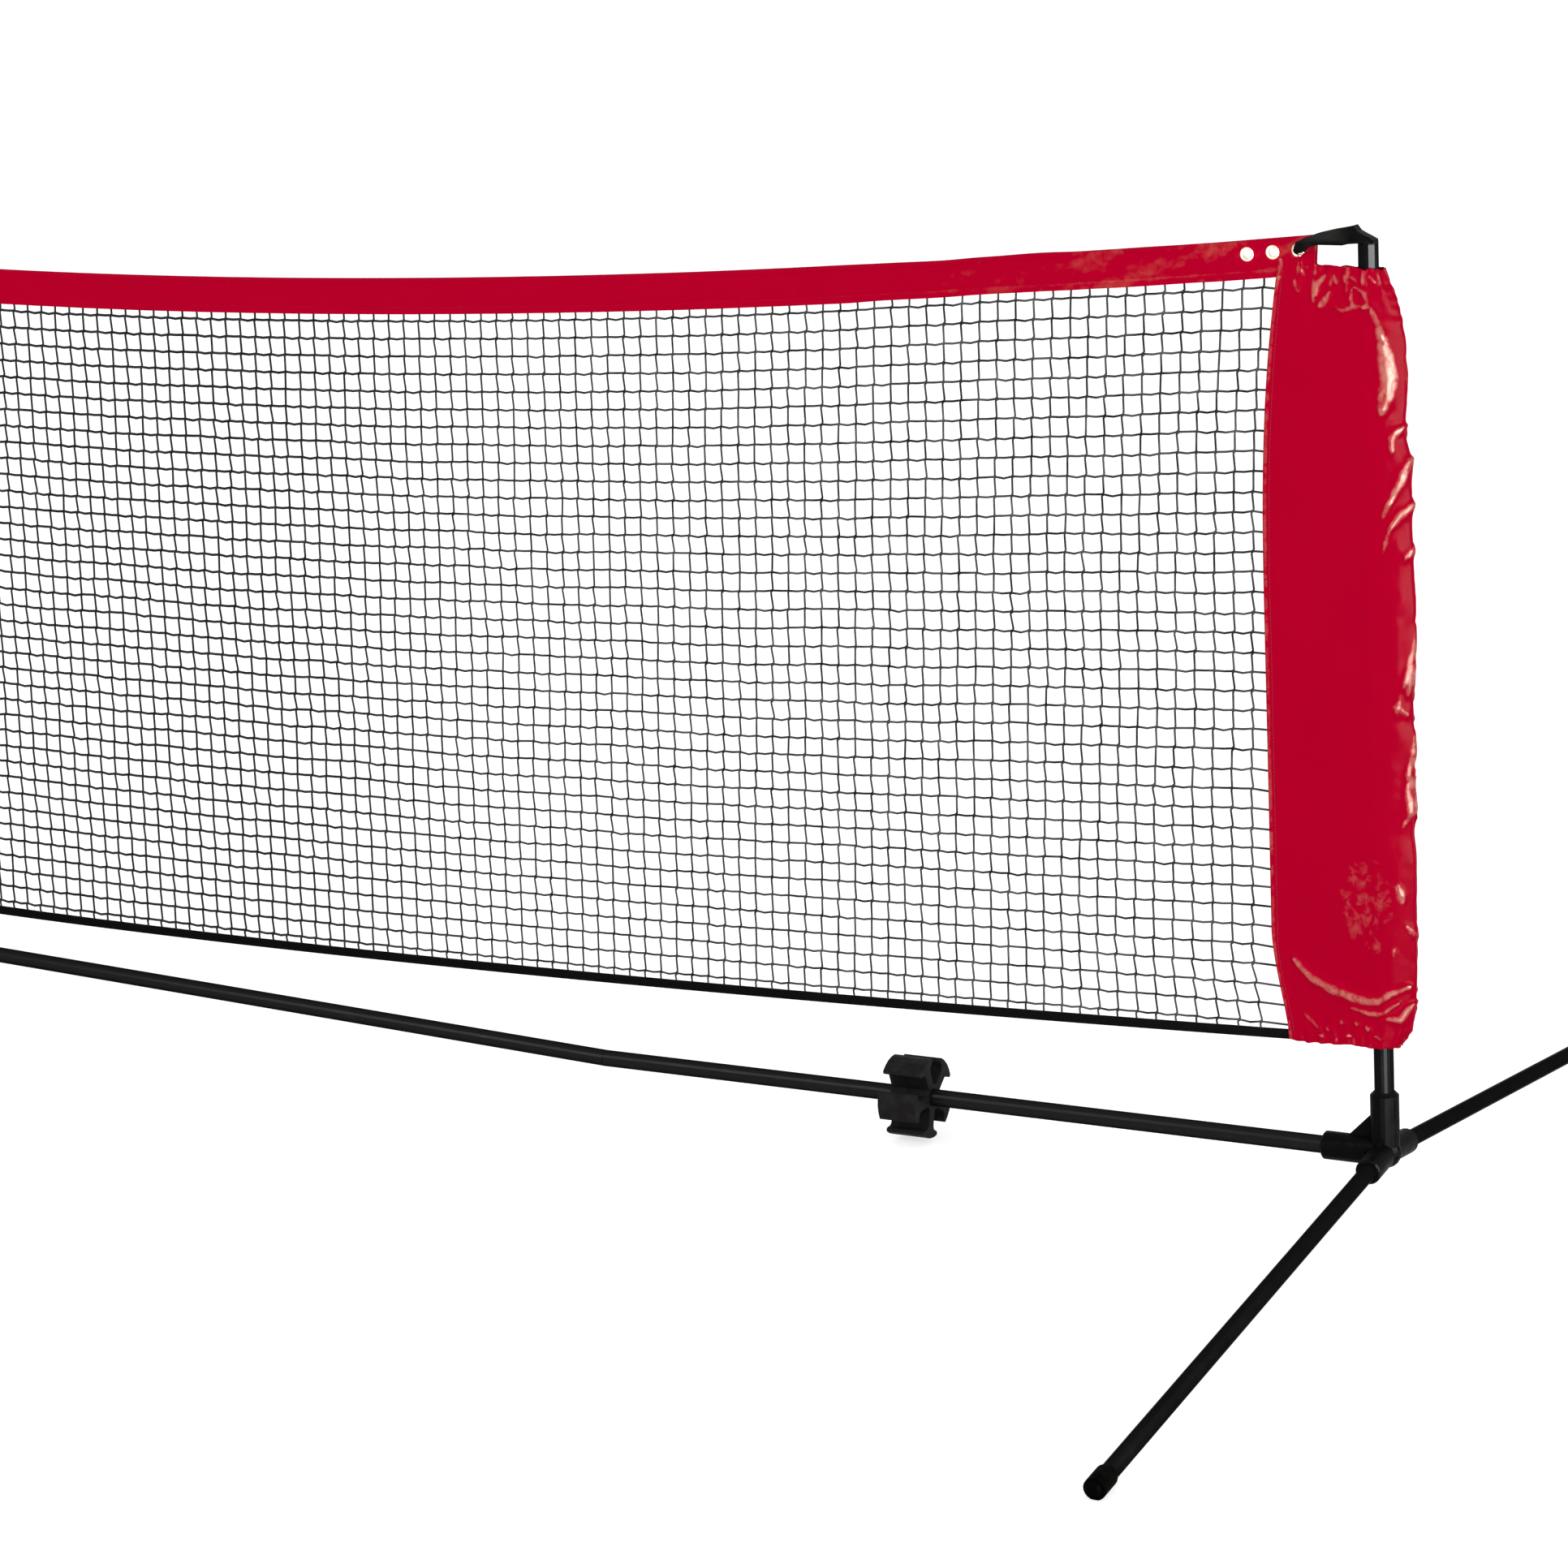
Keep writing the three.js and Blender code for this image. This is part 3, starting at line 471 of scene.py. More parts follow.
def woven_tape(name):
    """Black tape with a ribbed weave."""
    finish, tree, shader = new_material(name, (0.004, 0.004, 0.0045), 0.7, specular=0.01)
    weave = maths(tree, "MULTIPLY", wave_node(tree, 330, "X", 0.5), wave_node(tree, 450, "Z", 0.5))
    ribs = two_colours(tree, weave, (0.0025, 0.0025, 0.003), (0.008, 0.008, 0.009))
    tree.links.new(ribs, shader.inputs["Base Color"])
    bump(tree, shader, weave, 0.5, 0.25 * MM)
    bump(tree, shader, noise_node(tree, 70, 3), 0.3, 0.8 * MM)
    return finish


def dull_metal(name):
    """Plated metal that has gone dull in places."""
    finish, tree, shader = new_material(name, (0.62, 0.50, 0.40), 0.42, metallic=0.85)
    tone = scaled(tree, noise_node(tree, 400, 4), 0, 1, 0.35, 0.65)
    dulled = two_colours(tree, tone, (0.70, 0.58, 0.47), (0.50, 0.38, 0.29))
    tree.links.new(dulled, shader.inputs["Base Color"])
    tree.links.new(scaled(tree, noise_node(tree, 900, 3), 0.34, 0.55), shader.inputs["Roughness"])
    bump(tree, shader, noise_node(tree, 1200, 3), 0.15, 0.1 * MM)
    return finish


def thread(name, colour):
    """Sewing thread, darker in places."""
    finish, tree, shader = new_material(name, colour, 0.6, specular=0.02)
    tone = two_colours(tree, noise_node(tree, 900, 2), colour, tuple(c * 0.6 for c in colour))
    tree.links.new(tone, shader.inputs["Base Color"])
    return finish


# Camera, floor and light

def seen_share(tree):
    """1 for rays from the camera and for reflected and refracted ones, 0 for the light on the object."""
    path = tree.nodes.new("ShaderNodeLightPath")
    seen = maths(tree, "MAXIMUM", path.outputs["Is Camera Ray"], path.outputs["Is Glossy Ray"])
    return maths(tree, "MAXIMUM", seen, path.outputs["Is Transmission Ray"])


def make_camera():
    camera = bpy.data.objects.new("camera", bpy.data.cameras.new("camera"))
    camera.data.lens = CAMERA_LENS
    camera.data.sensor_width = 36
    camera.data.clip_end = 100
    camera.location = CAMERA_PLACE
    camera.rotation_euler = (math.pi / 2 - CAMERA_PITCH, 0, CAMERA_YAW)
    bpy.context.scene.collection.objects.link(camera)
    bpy.context.scene.camera = camera


def make_floor():
    reach = 40
    corners = [(-reach, -reach, 0), (reach, -reach, 0), (reach, reach, 0), (-reach, reach, 0)]
    floor = add_object("floor", corners, [(0, 1, 2, 3)], smooth=False)
    finish, tree, shader = new_material("floor_paint", (0.82, 0.82, 0.82), 0.9, specular=0.0)
    tone = two_colours(tree, noise_node(tree, 3, 3), (0.81, 0.81, 0.81), (0.83, 0.83, 0.83))
    tree.links.new(tone, shader.inputs["Base Color"])
    shader.inputs["Emission Color"].default_value = (1, 1, 1, 1)
    glow = maths(tree, "MULTIPLY", seen_share(tree), LIGHT_LEVEL)
    tree.links.new(glow, shader.inputs["Emission Strength"])
    floor.data.materials.append(finish)


def make_world():
    world = bpy.data.worlds.new("studio")
    bpy.context.scene.world = world
    world.use_nodes = True
    tree = world.node_tree
    background = tree.nodes["Background"]
    background.inputs["Color"].default_value = (1, 1, 1, 1)
    strength = maths(tree, "MAXIMUM", seen_share(tree), LIGHT_LEVEL)
    tree.links.new(strength, background.inputs["Strength"])


def softbox(name, place, target, size, radiance, shine_only=False):
    """A rectangular lamp turned to the target; size is its width and height.

    With shine_only it shows in reflections and lights nothing else.
    """
    lamp = bpy.data.lights.new(name, "AREA")
    lamp.shape = "RECTANGLE"
    lamp.size, lamp.size_y = size
    lamp.energy = radiance * math.pi * size[0] * size[1]
    holder = bpy.data.objects.new(name, lamp)
    holder.location = place
    aim = Vector(target) - Vector(place)
    holder.rotation_euler = aim.to_track_quat("-Z", "Y").to_euler()
    holder.visible_diffuse = not shine_only
    holder.visible_camera = False
    bpy.context.scene.collection.objects.link(holder)


def make_lights():
    softbox("window_right", (3.52, -1.03, 0.72), (1.58, 0, 0.72), (3.4, 1.4), 80, shine_only=True)
    softbox("low_right", (1.775, -0.303, 0.06), (1.6, 0, 0.12), (0.28, 0.10), 30, shine_only=True)
    softbox("soft_right", (3.9, -1.9, 1.6), (1.5, 0, 0.5), (1.2, 1.2), 5.6)
    softbox("front_left", (-1.6, -4.0, 2.6), (0.7, 0, 0.5), (2.4, 1.6), 4.5)


# The knotted mesh

def mesh_point(column, row, side):
    """A knot of the mesh; column and row may lie between knots."""
    share = (column + 0.5) / (COLUMNS_PER_SIDE - 0.5)
    x = LAST_COLUMN * share
    down = row / MESH_ROWS
    top = band_top(x) - BAND_DEPTH + band_wander(x, 2) + 2 * MM
    bottom = hem_middle(x) + HEM_HALF_DEPTH - 1.5 * MM
    z = mix(top, bottom, down)
    x += (sleeve_edge_x(z) - EDGE_USUAL) * EDGE_PULL * share ** EDGE_PULL_POWER
    wander = noise.noise_vector(Vector((x * 9, z * 9, side * 3.7)))
    fine = noise.noise_vector(Vector((x * 47, z * 47, side * 1.3)))
    loose = math.sin(math.pi * down)
    x += (wander.x * 2.2 + fine.x * 1.1) * MM * (0.3 + 0.7 * loose)
    z += (wander.z * 2.0 + fine.z * 1.1) * MM * loose
    return x * side, z


def strand(points, radius, across):
    """A four-sided cord through points; across says whether it runs along X or along Z."""
    rings = []
    for x, y, z in points:
        thick = radius * (1.08 - 0.24 * smoothstep(abs(x), 0.35, 0.75))
        if across:
            rings += [(x, y - thick, z), (x, y, z + thick), (x, y + thick, z), (x, y, z - thick)]
        else:
            rings += [(x, y - thick, z), (x + thick, y, z), (x, y + thick, z), (x - thick, y, z)]
    return rings, grid_faces(len(points), 4, closed=True)


def knot(x, z, size):
    """An eight-sided bead round a crossing."""
    points = [(x - size, 0, z), (x + size, 0, z), (x, -size * 1.1, z), (x, size * 1.1, z),
              (x, 0, z - size), (x, 0, z + size)]
    faces = [(0, 2, 5), (2, 1, 5), (1, 3, 5), (3, 0, 5), (2, 0, 4), (1, 2, 4), (3, 1, 4), (0, 3, 4)]
    return points, faces


class Pile:
    """Gathers many small meshes into one."""

    def __init__(self):
        self.points = []
        self.faces = []

    def add(self, points, faces):
        start = len(self.points)
        self.points += points
        self.faces += [tuple(i + start for i in face) for face in faces]


def cord_offset(chance):
    return (CORD_OFFSET + chance.uniform(-CORD_WANDER, CORD_WANDER)) * MM


def mesh_row(row, side, chance):
    """Points of a cord along the net, from the middle into the sleeve, sagging between its knots."""
    line = [(0.0, CORD_OFFSET * MM, mesh_point(-0.5, row, side)[1])]
    for column in [i / 2 for i in range(2 * COLUMNS_PER_SIDE - 1)]:
        x, z = mesh_point(column, row, side)
        between = column % 1 != 0
        sag = (0.9 + chance.uniform(-0.7, 0.7)) * MM if between else 0
        line.append((x, cord_offset(chance), z - sag))
    z = line[-1][2]
    line.append(((sleeve_edge_x(z) + 5 * MM) * side, 0.2 * MM, z + chance.uniform(-1, 1) * MM))
    return line


def add_mesh_column(pile, column, side, chance):
    """A cord up the net from the hem to the band, with its knots."""
    x, z = mesh_point(column, MESH_ROWS, side)
    line = [(x, 0, z)]
    for row in [r + 0.5 for r in reversed(range(MESH_ROWS))]:
        x, z = mesh_point(column, row, side)
        slant = side * chance.uniform(0.1, 1.1) * MM
        line.append((x - slant, -cord_offset(chance), z - KNOT_HALF_HEIGHT))
        line.append((x + slant, -cord_offset(chance), z + KNOT_HALF_HEIGHT))
        pile.add(*knot(x, z, KNOT_RADIUS * chance.uniform(0.8, 1.2)))
    x, z = mesh_point(column, 0, side)
    line.append((x, 0, z))
    pile.add(*strand(line, STRAND_RADIUS, False))


def make_net(name, side, finish):
    """One half of the knotted mesh."""
    pile = Pile()
    chance = random.Random(11 + side)
    for row in [r + 0.5 for r in range(MESH_ROWS)]:
        pile.add(*strand(mesh_row(row, side, chance), STRAND_RADIUS, True))
    for column in range(COLUMNS_PER_SIDE):
        add_mesh_column(pile, column, side, chance)
    net = add_object(name, pile.points, pile.faces)
    return dress(net, finish, replaced=["net_mesh"])


# Band and hem

def eyelet_place(index):
    """Where an eyelet of the right end is; index 2 is the one the hook holds."""
    x = BAND_HALF_LENGTH - EYELET_INSET - (2 - index) * EYELET_SPACING
    return x, band_top(x) - EYELET_DROP


def stations():
    """Places along the band, close together near its ends."""
    places = []
    x = 0.0
    while x < BAND_HALF_LENGTH:
        places.append(x)
        x += 6 * MM if x < 1.40 else 1.3 * MM
    places.append(BAND_HALF_LENGTH)
    return [-x for x in reversed(places[1:])] + places


def band_height(x, down):
    """Height of the band's face at a share of the way down it."""
    return band_top(x) - BAND_DEPTH * down + mix(band_wander(x, 1), band_wander(x, 2), down)


def band_ripple(x, down):
    """How far the band's face stands out: slack along the stitching and long shallow waves."""
    slow = noise.noise(Vector((x * 7, down * 1.5, 0.3)))
    quick = noise.noise(Vector((x * 38, down * 3, 4.1)))
    near_stitches = smoothstep(down, 0.45, 0.78) * (1 - smoothstep(down, 0.82, 1))
    pucker = noise.noise(Vector((x * 160, 0, 9.2))) * near_stitches
    return (1.0 * slow + 0.55 * quick + 0.5 * pucker) * MM


def band_swell(x, down, front):
    """The ripple of one face, front 1 or back -1, fading out towards the top fold."""
    shift = 0 if front > 0 else 3
    return max(BAND_LEAST_SWELL, band_ripple(x + shift, down) * min(1, down * 6))


def band_end_fold(x):
    return BAND_FOLD_THICKNESS * smoothstep(abs(x), *BAND_FOLD)


def band_painted_highlight(x, down):
    """How much painted highlight, pale and glossier, the coating gets there: slanting streaks, more of them
    towards the ends, specks, and a line along the stitching.
    """
    near_end = smoothstep(abs(x), 0.95, 1.48)
    slant = abs(x) + 0.045 * down
    streaks = noise.noise(Vector((slant * 26, down * 2.2, 1.7)))
    streaks += 0.6 * noise.noise(Vector((slant * 75, down * 4, 5.1)))
    seam = 0.5 * math.exp(-((down - STITCH_SHARE) / 0.035) ** 2) * (0.4 + 0.6 * near_end)
    specks = 0.5 * noise.noise(Vector((abs(x) * 150, down * 7, 2.9)))
    return min(1, max(0, (streaks + specks + 0.28) * near_end) + seam)


def band_section(x):
    """Points round the folded band from its front lower edge over the top to the back one."""
    points = []
    shares = [1, 0.985, 0.94, 0.89, 0.85, 0.82, 0.8, 0.78, 0.75] + [0.71 - 0.04 * i for i in range(17)]
    for front in (1, -1):
        line = []
        for down in shares:
            round_top = 1 - (1 - min(1, down / 0.07)) ** 2
            half = BAND_HALF_THICKNESS * max(0, round_top) ** 0.5
            groove = STITCH_DEPTH * math.exp(-((down - STITCH_SHARE) / 0.02) ** 2)
            cord = 0.9 * MM * math.exp(-((down - 0.07) / 0.05) ** 2)
            half += band_end_fold(x) * min(1, down * 10) - groove + cord + band_swell(x, down, front)
            line.append((x, -half * front, band_height(x, down)))
        points += line if front > 0 else [(x, 0, band_height(x, 0))] + line[::-1]
    return points


def make_band(finish):
    """The folded band, open where its eyelets go through."""
    rows = stations()
    sections = [band_section(x) for x in rows]
    points = [point for section in sections for point in section]
    columns = len(sections[0])
    centres = [(side * eyelet_place(i)[0], eyelet_place(i)[1]) for side in (1, -1) for i in range(3)]

    def keep(row, column):
        near = [place for place in centres if abs(rows[row] - place[0]) < 10 * MM]
        corners = [points[(row + i) * columns + column + j] for i in (0, 1) for j in (0, 1)]
        return not any(math.hypot(p[0] - x, p[2] - z) < EYELET_CUT for x, z in near for p in corners)

    band = add_object("band", points, grid_faces(len(rows), columns, keep))
    # The band's points get their painted highlight, pale and glossier.
    add_painted_highlight(band, [band_painted_highlight(p[0], (band_top(p[0]) - p[2]) / BAND_DEPTH) for p in points])
    thicken(band, BAND_CLOTH)
    return dress(band, finish, replaced=["top_band"])


def hem_section(x):
    """Points round the folded tape from its front upper edge under it to the back one."""
    middle = hem_middle(x)
    points = []
    for i in range(13):
        turn = i / 12
        if turn < 0.4:
            height, half = mix(1, -0.7, turn / 0.4), 1
        elif turn > 0.6:
            height, half = mix(-0.7, 1, (turn - 0.6) / 0.4), -1
        else:
            angle = (turn - 0.4) / 0.2 * math.pi
            height, half = -0.7 - 0.3 * math.sin(angle), math.cos(angle)
        bulge = 1 - 0.35 * smoothstep(height, 0.4, 1)
        wave = noise.noise(Vector((x * 30, height, 2.0))) * 0.35 * MM
        points.append((x, -half * (HEM_HALF_THICKNESS * bulge + wave), middle + HEM_HALF_DEPTH * height))
    return points


def make_hem(finish):
    shares = [i / HEM_STATIONS for i in range(HEM_STATIONS + 1)]
    sections = [hem_section(mix(-HEM_HALF_LENGTH, HEM_HALF_LENGTH, share)) for share in shares]
    points = [point for section in sections for point in section]
    hem = add_object("hem_tape", points, grid_faces(len(sections), len(sections[0])))
    thicken(hem, HEM_CLOTH)
    return dress(hem, finish, replaced=["bottom_hem"])


def stitch(start, end, out, radius=0.28 * MM):
    """One stitch: a short raised thread from start to end, bulging outward."""
    points = []
    start, end, out = Vector(start), Vector(end), Vector(out)
    side = (end - start).cross(out).normalized() * radius
    for share, lift in ((0, -0.5), (0.2, 0.6), (0.5, 0.9), (0.8, 0.6), (1, -0.5)):
        middle = start.lerp(end, share) + out * radius * lift
        points += [tuple(middle + side), tuple(middle + out * radius), tuple(middle - side)]
    return points, grid_faces(5, 3)


def stitches_along(pile, path, spacing, out, fill=0.68):
    """Stitches on a path of points, one each spacing."""
    travelled = 0.0
    for a, b in zip(path, path[1:]):
        a, b = Vector(a), Vector(b)
        length = (b - a).length
        while travelled < length:
            first = a.lerp(b, travelled / length)
            last = a + (b - a).normalized() * min(travelled + spacing * fill, length + spacing * fill)
            pile.add(*stitch(first, last, out))
            travelled += spacing
        travelled -= length


def band_stitch_path(front):
    """Places along the stitched groove of one face of the band."""
    path = []
    x = -BAND_HALF_LENGTH + 2 * MM
    while x < BAND_HALF_LENGTH - 2 * MM:
        half = BAND_HALF_THICKNESS - STITCH_DEPTH + band_swell(x, STITCH_SHARE, front) + band_end_fold(x)
        path.append((x, -half * front, band_height(x, STITCH_SHARE)))
        x += 8 * MM
    return path


def end_stitch_path(x, front):
    """Places down the seam that holds the band's folded end."""
    y = -(BAND_HALF_THICKNESS + 1.1 * MM) * front
    return [(x, y, band_top(x) - BAND_DEPTH * down) for down in (0.12, 0.3, 0.5, 0.7, 0.85)]


def make_band_stitches(finish):
    pile = Pile()
    for front in (1, -1):
        out = (0, -front, 0)
        stitches_along(pile, band_stitch_path(front), 3.2 * MM, out)
        for side in (1, -1):
            stitches_along(pile, end_stitch_path(BAND_FOLD_SEAM * side, front), 2.8 * MM, out)
    seam = add_object("band_stitches", pile.points, pile.faces)
    return dress(seam, finish)


# Sleeves

def sleeve_pinch(up):
    """How near a share of the height is to the gathered top, and to the gathered bottom."""
    return smoothstep(up, 0.86, 1), 1 - smoothstep(up, 0, 0.13)


def sleeve_reach(up):
    """How far the sleeve reaches past the post's axis, inboard and outboard."""
    shoulder = max(0, (up - 0.5) / 0.5) ** 2.4
    near_bottom = 1 - smoothstep(up, 0, 0.11)
    inboard = SLEEVE_INBOARD * (1 - 0.22 * shoulder - 0.15 * near_bottom)
    height = mix(SLEEVE_BOTTOM, SLEEVE_TOP, up) / MM
    for (low, first), (high, second) in zip(OUTER_EDGE, OUTER_EDGE[1:]):
        if height <= high:
            return inboard, mix(first, second, smoothstep(height, low, high)) * MM
    return inboard, OUTER_EDGE[-1][1] * MM


def sleeve_edge_x(z):
    """Inboard edge of the sleeve at a height."""
    up = min(1, max(0, (z - SLEEVE_BOTTOM) / (SLEEVE_TOP - SLEEVE_BOTTOM)))
    guide = mix(SLEEVE_BOTTOM, SLEEVE_TOP, up)
    return post_x(guide) - sleeve_reach(up)[0]


def sleeve_plain(turn, up):
    """Place from the post's axis on the sleeve without folds.

    turn runs from -1, the front seam, over 0, the outer side, to 1, the back seam.
    """
    near_top, near_bottom = sleeve_pinch(up)
    pinch = max(near_top, near_bottom)
    inboard, outboard = sleeve_reach(up)
    full = mix(SLEEVE_HALF_THICKNESS, SLEEVE_NECK, pinch)
    outer = 0.28
    away = abs(turn)
    front = -1 if turn < 0 else 1
    if away < outer:
        angle = away / outer * math.pi / 2
        return outboard * math.cos(angle), front * full * math.sin(angle)
    share = (away - outer) / (1 - outer)
    crown = (1 - share) ** mix(0.9, 2.4, near_top)
    return -inboard * share, front * mix(SLEEVE_EDGE, full, crown)


def line_distance(x, z, line, index):
    """Distance to one part of a line, and how far along the whole line the nearest point is."""
    a, b = line[index], line[index + 1]
    dx, dz = b[0] - a[0], b[1] - a[1]
    t = max(0, min(1, ((x - a[0]) * dx + (z - a[1]) * dz) / (dx * dx + dz * dz)))
    return math.hypot(x - a[0] - t * dx, z - a[1] - t * dz), (index + t) / (len(line) - 1)


def drawn_folds(x, z, slim=1.0):
    """Height in mm of the drawn folds at a place in mm on the sleeve's face, at a share of their width."""
    height = 0.0
    for line, full_width, tall in FOLDS:
        width = full_width * slim
        reach = width * 2.6
        low = min(p[1] for p in line) - reach
        high = max(p[1] for p in line) + reach
        if not low < z < high:
            continue
        near, along = min(line_distance(x, z, line, i) for i in range(len(line) - 1))
        if near < reach:
            slender = width * (0.45 + 0.55 * math.sin(math.pi * along) ** 0.7)
            height += tall * FOLD_GAIN * math.exp(-(near / slender) ** 2)
    return height


def sleeve_fold(turn, up, x, z, face):
    """How far the cloth stands out of its plain form there, in mm. face tells the two faces apart."""
    near_top, near_bottom = sleeve_pinch(up)
    away = abs(turn)
    seam = smoothstep(1 - away, 0.0, 0.12)
    drawn = drawn_folds(x, z + (0 if face < 0 else 6)) * (1 if face < 0 else 0.8)
    phase = face * GATHER_PHASE
    gather_top = math.sin(away * GATHERS + phase + GATHER_DRIFT * up) + 0.6 * math.sin(away * 83 + phase * 2)
    gather_low = math.sin(away * 64 + phase) + 0.5 * math.sin(away * 117 + 2 * phase)
    rim_top = smoothstep(up, 0.955, 0.998)
    rim_low = 1 - smoothstep(up, 0.005, 0.045)
    slow = noise.noise(Vector((x / 70, z / 95, face * 5.0)))
    crease = noise.noise(Vector((x / 14 + z / 90, z / 34, face * 3.0)))
    fine = noise.noise(Vector((x / 9, z / 9, face * 7.0)))
    outer = 1 - smoothstep(away, 0.12, 0.42)
    ends = max(near_top, near_bottom)
    height = drawn * seam
    height += (0.9 * gather_top * rim_top + 0.75 * gather_low * rim_low) * (0.25 + 0.75 * seam)
    height += slow * 1.3 * seam + crease * (0.9 * outer + 0.8 * ends * seam)
    height += fine * (0.10 + 0.35 * outer + 0.45 * ends) * seam
    height += 0.75 * smoothstep(away, 0.962, 0.970)
    return height


def sleeve_painted_highlight(turn, up):
    """How much painted highlight, pale and glossier, the coating gets there, from 0 to 1: on the folds, the
    gathers, the seam's edge and the mottled patch.
    """
    plain = sleeve_plain(turn, up)
    guide = mix(SLEEVE_BOTTOM, SLEEVE_TOP, up)
    drawn = drawn_folds(plain[0] / MM, guide / MM, HIGHLIGHT_SLIM) / HIGHLIGHT_FULL_HEIGHT / FOLD_GAIN
    phase = -GATHER_PHASE if turn < 0 else GATHER_PHASE
    gathers = max(0, math.sin(abs(turn) * GATHERS + phase + GATHER_DRIFT * up)) ** 3
    broken = 0.5 + noise.noise(Vector((plain[0] / 7 / MM, guide / 6 / MM, phase)))
    rim = smoothstep(up, 0.955, 0.99) + 0.5 - 0.5 * smoothstep(up, 0.004, 0.03)
    edge = 0.42 * smoothstep(abs(turn), 0.968, 0.975)
    return min(1, max(0, drawn + gathers * broken * rim + edge + painted_sheen_patch(plain[0] / MM, guide / MM)))


def painted_sheen_patch(x, z):
    """How much painted sheen, pale and glossier, the coating gets in the mottled patch."""
    away = ((x - SHEEN_PATCH[0]) / SHEEN_PATCH[2]) ** 2 + ((z - SHEEN_PATCH[1]) / SHEEN_PATCH[3]) ** 2
    return max(0, 1 - away * away) * (0.33 + 0.22 * noise.noise(Vector((x / 6, z / 8, 6.6))))


def sleeve_heights(x, turn, face):
    """Bottom and top of the sleeve at a place across it."""
    post = post_x(SLEEVE_BOTTOM)
    drop = smoothstep(x, post - 2.8 * POST_RADIUS, post - POST_RADIUS)
    inner = post - 0.85 * SLEEVE_INBOARD
    corner = 3 * MM * max(0, 1 - (x - inner) / 0.009) ** 2
    bottom = SLEEVE_BOTTOM - 2.9 * MM + (x - inner) * SLEEVE_BOTTOM_RISE - 2.1 * MM * drop + corner
    join = 4.0 * MM * (1 - smoothstep(x, 1.503, 1.512))
    ripple = 1.5 * MM * noise.noise(Vector((turn * 17, face * 3.0, 0.5)))
    return bottom + ripple * 0.7, SLEEVE_TOP + join + ripple * (0.2 if join else 1)


def sleeve_point(turn, up):
    """A point of the right sleeve: its plain form, moved out along its normal by the folds."""
    step = 0.004
    plain = sleeve_plain(turn, up)
    before = sleeve_plain(max(-1, turn - step), up)
    after = sleeve_plain(min(1, turn + step), up)
    tangent = (after[0] - before[0], after[1] - before[1])
    length = math.hypot(*tangent)
    normal = (tangent[1] / length, -tangent[0] / length)
    guide = mix(SLEEVE_BOTTOM, SLEEVE_TOP, up)
    face = -1 if turn < 0.06 else 1
    fold = sleeve_fold(turn, up, plain[0] / MM, guide / MM, face) * MM
    x = post_x(guide) + plain[0] + normal[0] * fold
    y = plain[1] + normal[1] * fold
    bottom, top = sleeve_heights(x, turn, face)
    return x, y, mix(bottom, top, up)


def sleeve_ups():
    """Heights of the rows, as shares, closer together near both ends."""
    shares = [i / SLEEVE_ROWS for i in range(SLEEVE_ROWS + 1)]
    return [s - math.sin(s * 2 * math.pi) * 0.06 for s in shares]


def sleeve_grid():
    """Points of the right sleeve, and how much painted highlight each of them gets."""
    places = [(-1 + 2 * i / SLEEVE_COLUMNS, up) for up in sleeve_ups() for i in range(SLEEVE_COLUMNS + 1)]
    return [sleeve_point(*place) for place in places], [sleeve_painted_highlight(*place) for place in places]


def make_sleeve(name, side, grid, finish):
    points = [(x * side, y * side, z) for x, y, z in grid[0]]
    faces = grid_faces(SLEEVE_ROWS + 1, SLEEVE_COLUMNS + 1)
    sleeve = add_object(f"pouch_{name}", points, faces)
    # The sleeve's points get their painted highlight, pale and glossier.
    add_painted_highlight(sleeve, grid[1])
    thicken(sleeve, CLOTH)
    return dress(sleeve, finish, replaced=[f"sleeve_{name}"])


def make_sleeve_stitches(name, side, finish):
    pile = Pile()
    for face in (-1, 1):
        turn = SEAM_TURN * face
        path = []
        for i in range(161):
            x, y, z = sleeve_point(turn, mix(0.012, 0.988, i / 160))
            path.append((x * side, (y + 0.1 * MM * face) * side, z))
        stitches_along(pile, path, 3.0 * MM, (0, face * side, 0))
    seam = add_object(f"pouch_stitches_{name}", pile.points, pile.faces)
    return dress(seam, finish)


# Eyelets

def eyelet_profile():
    """Radius and depth round one half of an eyelet: the hole's rolled edge, the flange and the barrel."""
    outer = BAND_HALF_THICKNESS + 1.4 * MM
    under = outer - 1.2 * MM
    profile = [(EYELET_HOLE, 0)]
    for i in range(7):
        angle = i / 6 * math.pi / 2
        depth = outer - EYELET_ROLL * (1 - math.sin(angle))
        profile.append((EYELET_HOLE + EYELET_ROLL * (1 - math.cos(angle)), depth))
    for i in range(1, 6):
        angle = i / 5 * math.pi / 2
        radius = mix(EYELET_HOLE + EYELET_ROLL, EYELET_FLANGE, math.sin(angle))
        profile.append((radius, outer - 0.9 * MM * (1 - math.cos(angle))))
    barrel = EYELET_HOLE + EYELET_WALL
    return profile + [(EYELET_FLANGE - 0.5 * MM, under), (barrel, under), (barrel, 0)]


def make_eyelet(name, side, index, finish):
    """Rolled rims on both faces, joined by a barrel through the band."""
    x, z = eyelet_place(index)
    profile = eyelet_profile()
    ring = [(r, -y) for r, y in profile] + [(r, y) for r, y in reversed(profile[1:-1])]
    count = len(ring)
    points = []
    faces = []
    for i in range(EYELET_SIDES):
        angle = i / EYELET_SIDES * 2 * math.pi
        points += [(side * x + r * math.cos(angle), y, z + r * math.sin(angle)) for r, y in ring]
        k = (i + 1) % EYELET_SIDES
        for j in range(count):
            m = (j + 1) % count
            faces.append((i * count + j, i * count + m, k * count + m, k * count + j))
    rim = add_object(f"rim_{name}_{index + 1}", points, faces)
    return dress(rim, finish, replaced=[f"eyelet_{name}_{index + 1}"])


# Everything

def finish_node(name, finish):
    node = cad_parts[name]
    node.data.materials.clear()
    node.data.materials.append(finish)


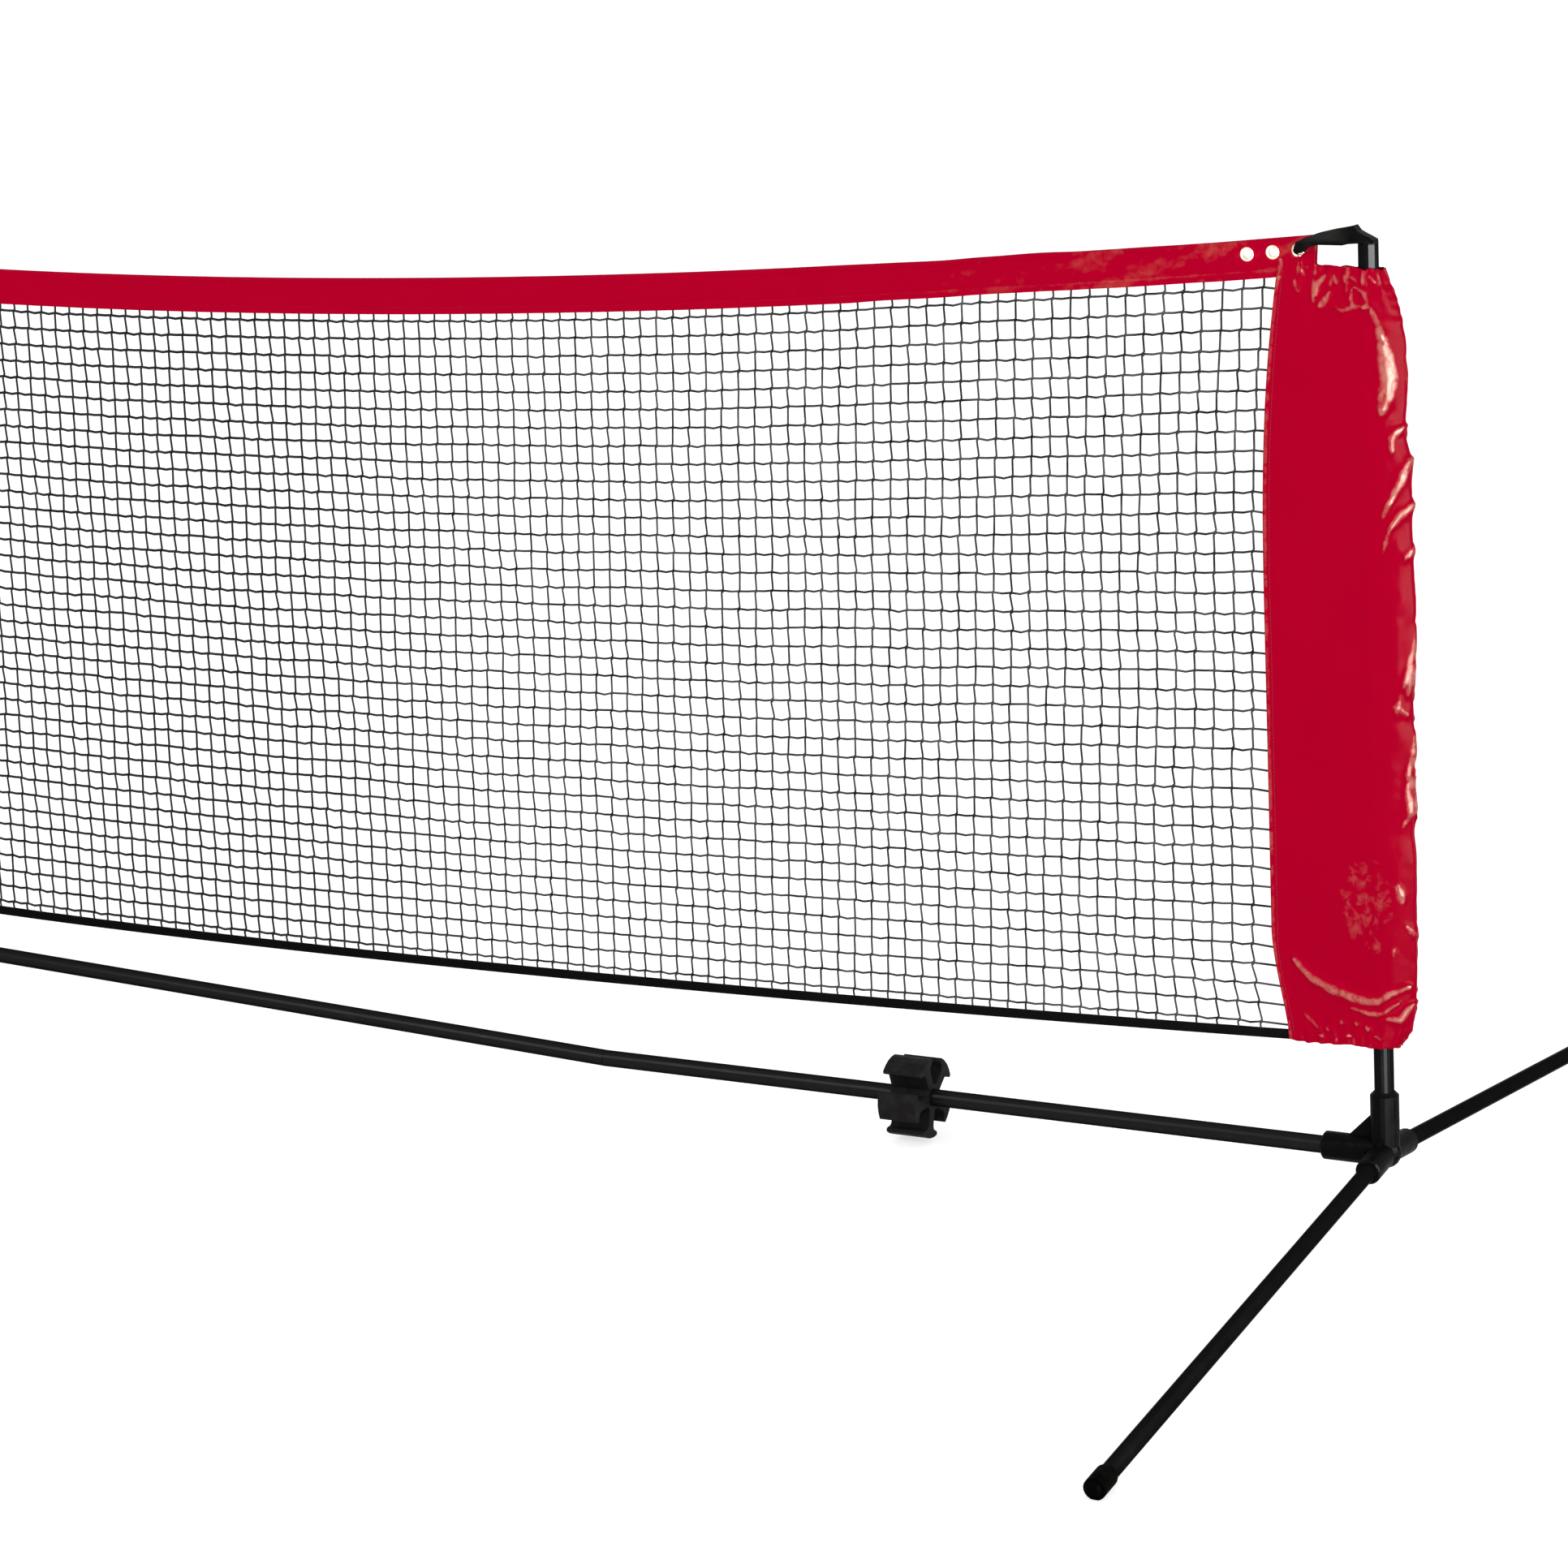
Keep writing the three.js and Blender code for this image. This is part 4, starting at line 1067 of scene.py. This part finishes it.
def make_soft_finishes():
    red = (0.53, 0.0, 0.0245)
    darker = (0.51, 0.0, 0.0235)
    return {
        # The third colour of each vinyl is the pale colour of its painted highlight.
        "sleeve": vinyl("sleeve_vinyl", red, darker, (0.74, 0.30, 0.23), 26, 55),
        "band": vinyl("band_vinyl", red, darker, (0.60, 0.065, 0.050), 60, 85),
        "tape": woven_tape("hem_tape"),
        "cord": net_cord("net_cord"),
        "metal": dull_metal("eyelet_metal"),
        "thread": thread("red_thread", (0.42, 0.045, 0.07)),
    }


def make_rigid_finishes():
    """A finish for each rigid node, by its name without its side."""
    frame_paint = black_paint("frame_paint", 0.0145, 0.25)
    cap = black_plastic("cap_plastic", (0.0021, 0.0021, 0.0020), (0.008, 0.008, 0.007), 0.40, 0.001)
    connector = black_plastic("connector_plastic", (0.0042, 0.0040, 0.0038), (0.014, 0.013, 0.012), 0.36)
    return {
        "post": black_paint("post_paint", 0.0065, 0.5),
        "base_tube_outer": frame_paint,
        "base_tube_inner": frame_paint,
        "leg_tube_front": frame_paint,
        "leg_tube_back": frame_paint,
        "foot_cap_front": cap,
        "foot_cap_back": cap,
        "corner_connector": connector,
        "tension_hook": hook_plastic("hook_plastic"),
        "storage_clip": black_plastic("clip_plastic", (0.0135, 0.0125, 0.0128), (0.024, 0.022, 0.022), 0.42),
    }


def make_soft_pieces(finishes):
    nets = [make_net(f"net_{name}", side, finishes["cord"]) for name, side in SIDES.items()]
    band = make_band(finishes["band"])
    hem = make_hem(finishes["tape"])
    seam = make_band_stitches(finishes["thread"])
    rims = []
    grid = sleeve_grid()
    for name, side in SIDES.items():
        sleeve = make_sleeve(name, side, grid, finishes["sleeve"])
        stitches = make_sleeve_stitches(name, side, finishes["thread"])
        rims += [make_eyelet(name, side, i, finishes["metal"]) for i in range(3)]


def main():
    noise.seed_set(NOISE_SEED)
    make_camera()
    make_floor()
    make_world()
    make_lights()
    make_soft_pieces(make_soft_finishes())
    for node, finish in make_rigid_finishes().items():
        for name in SIDES:
            finish_node(f"{node}_{name}", finish)
    bpy.context.scene.view_settings.view_transform = "Standard"


main()
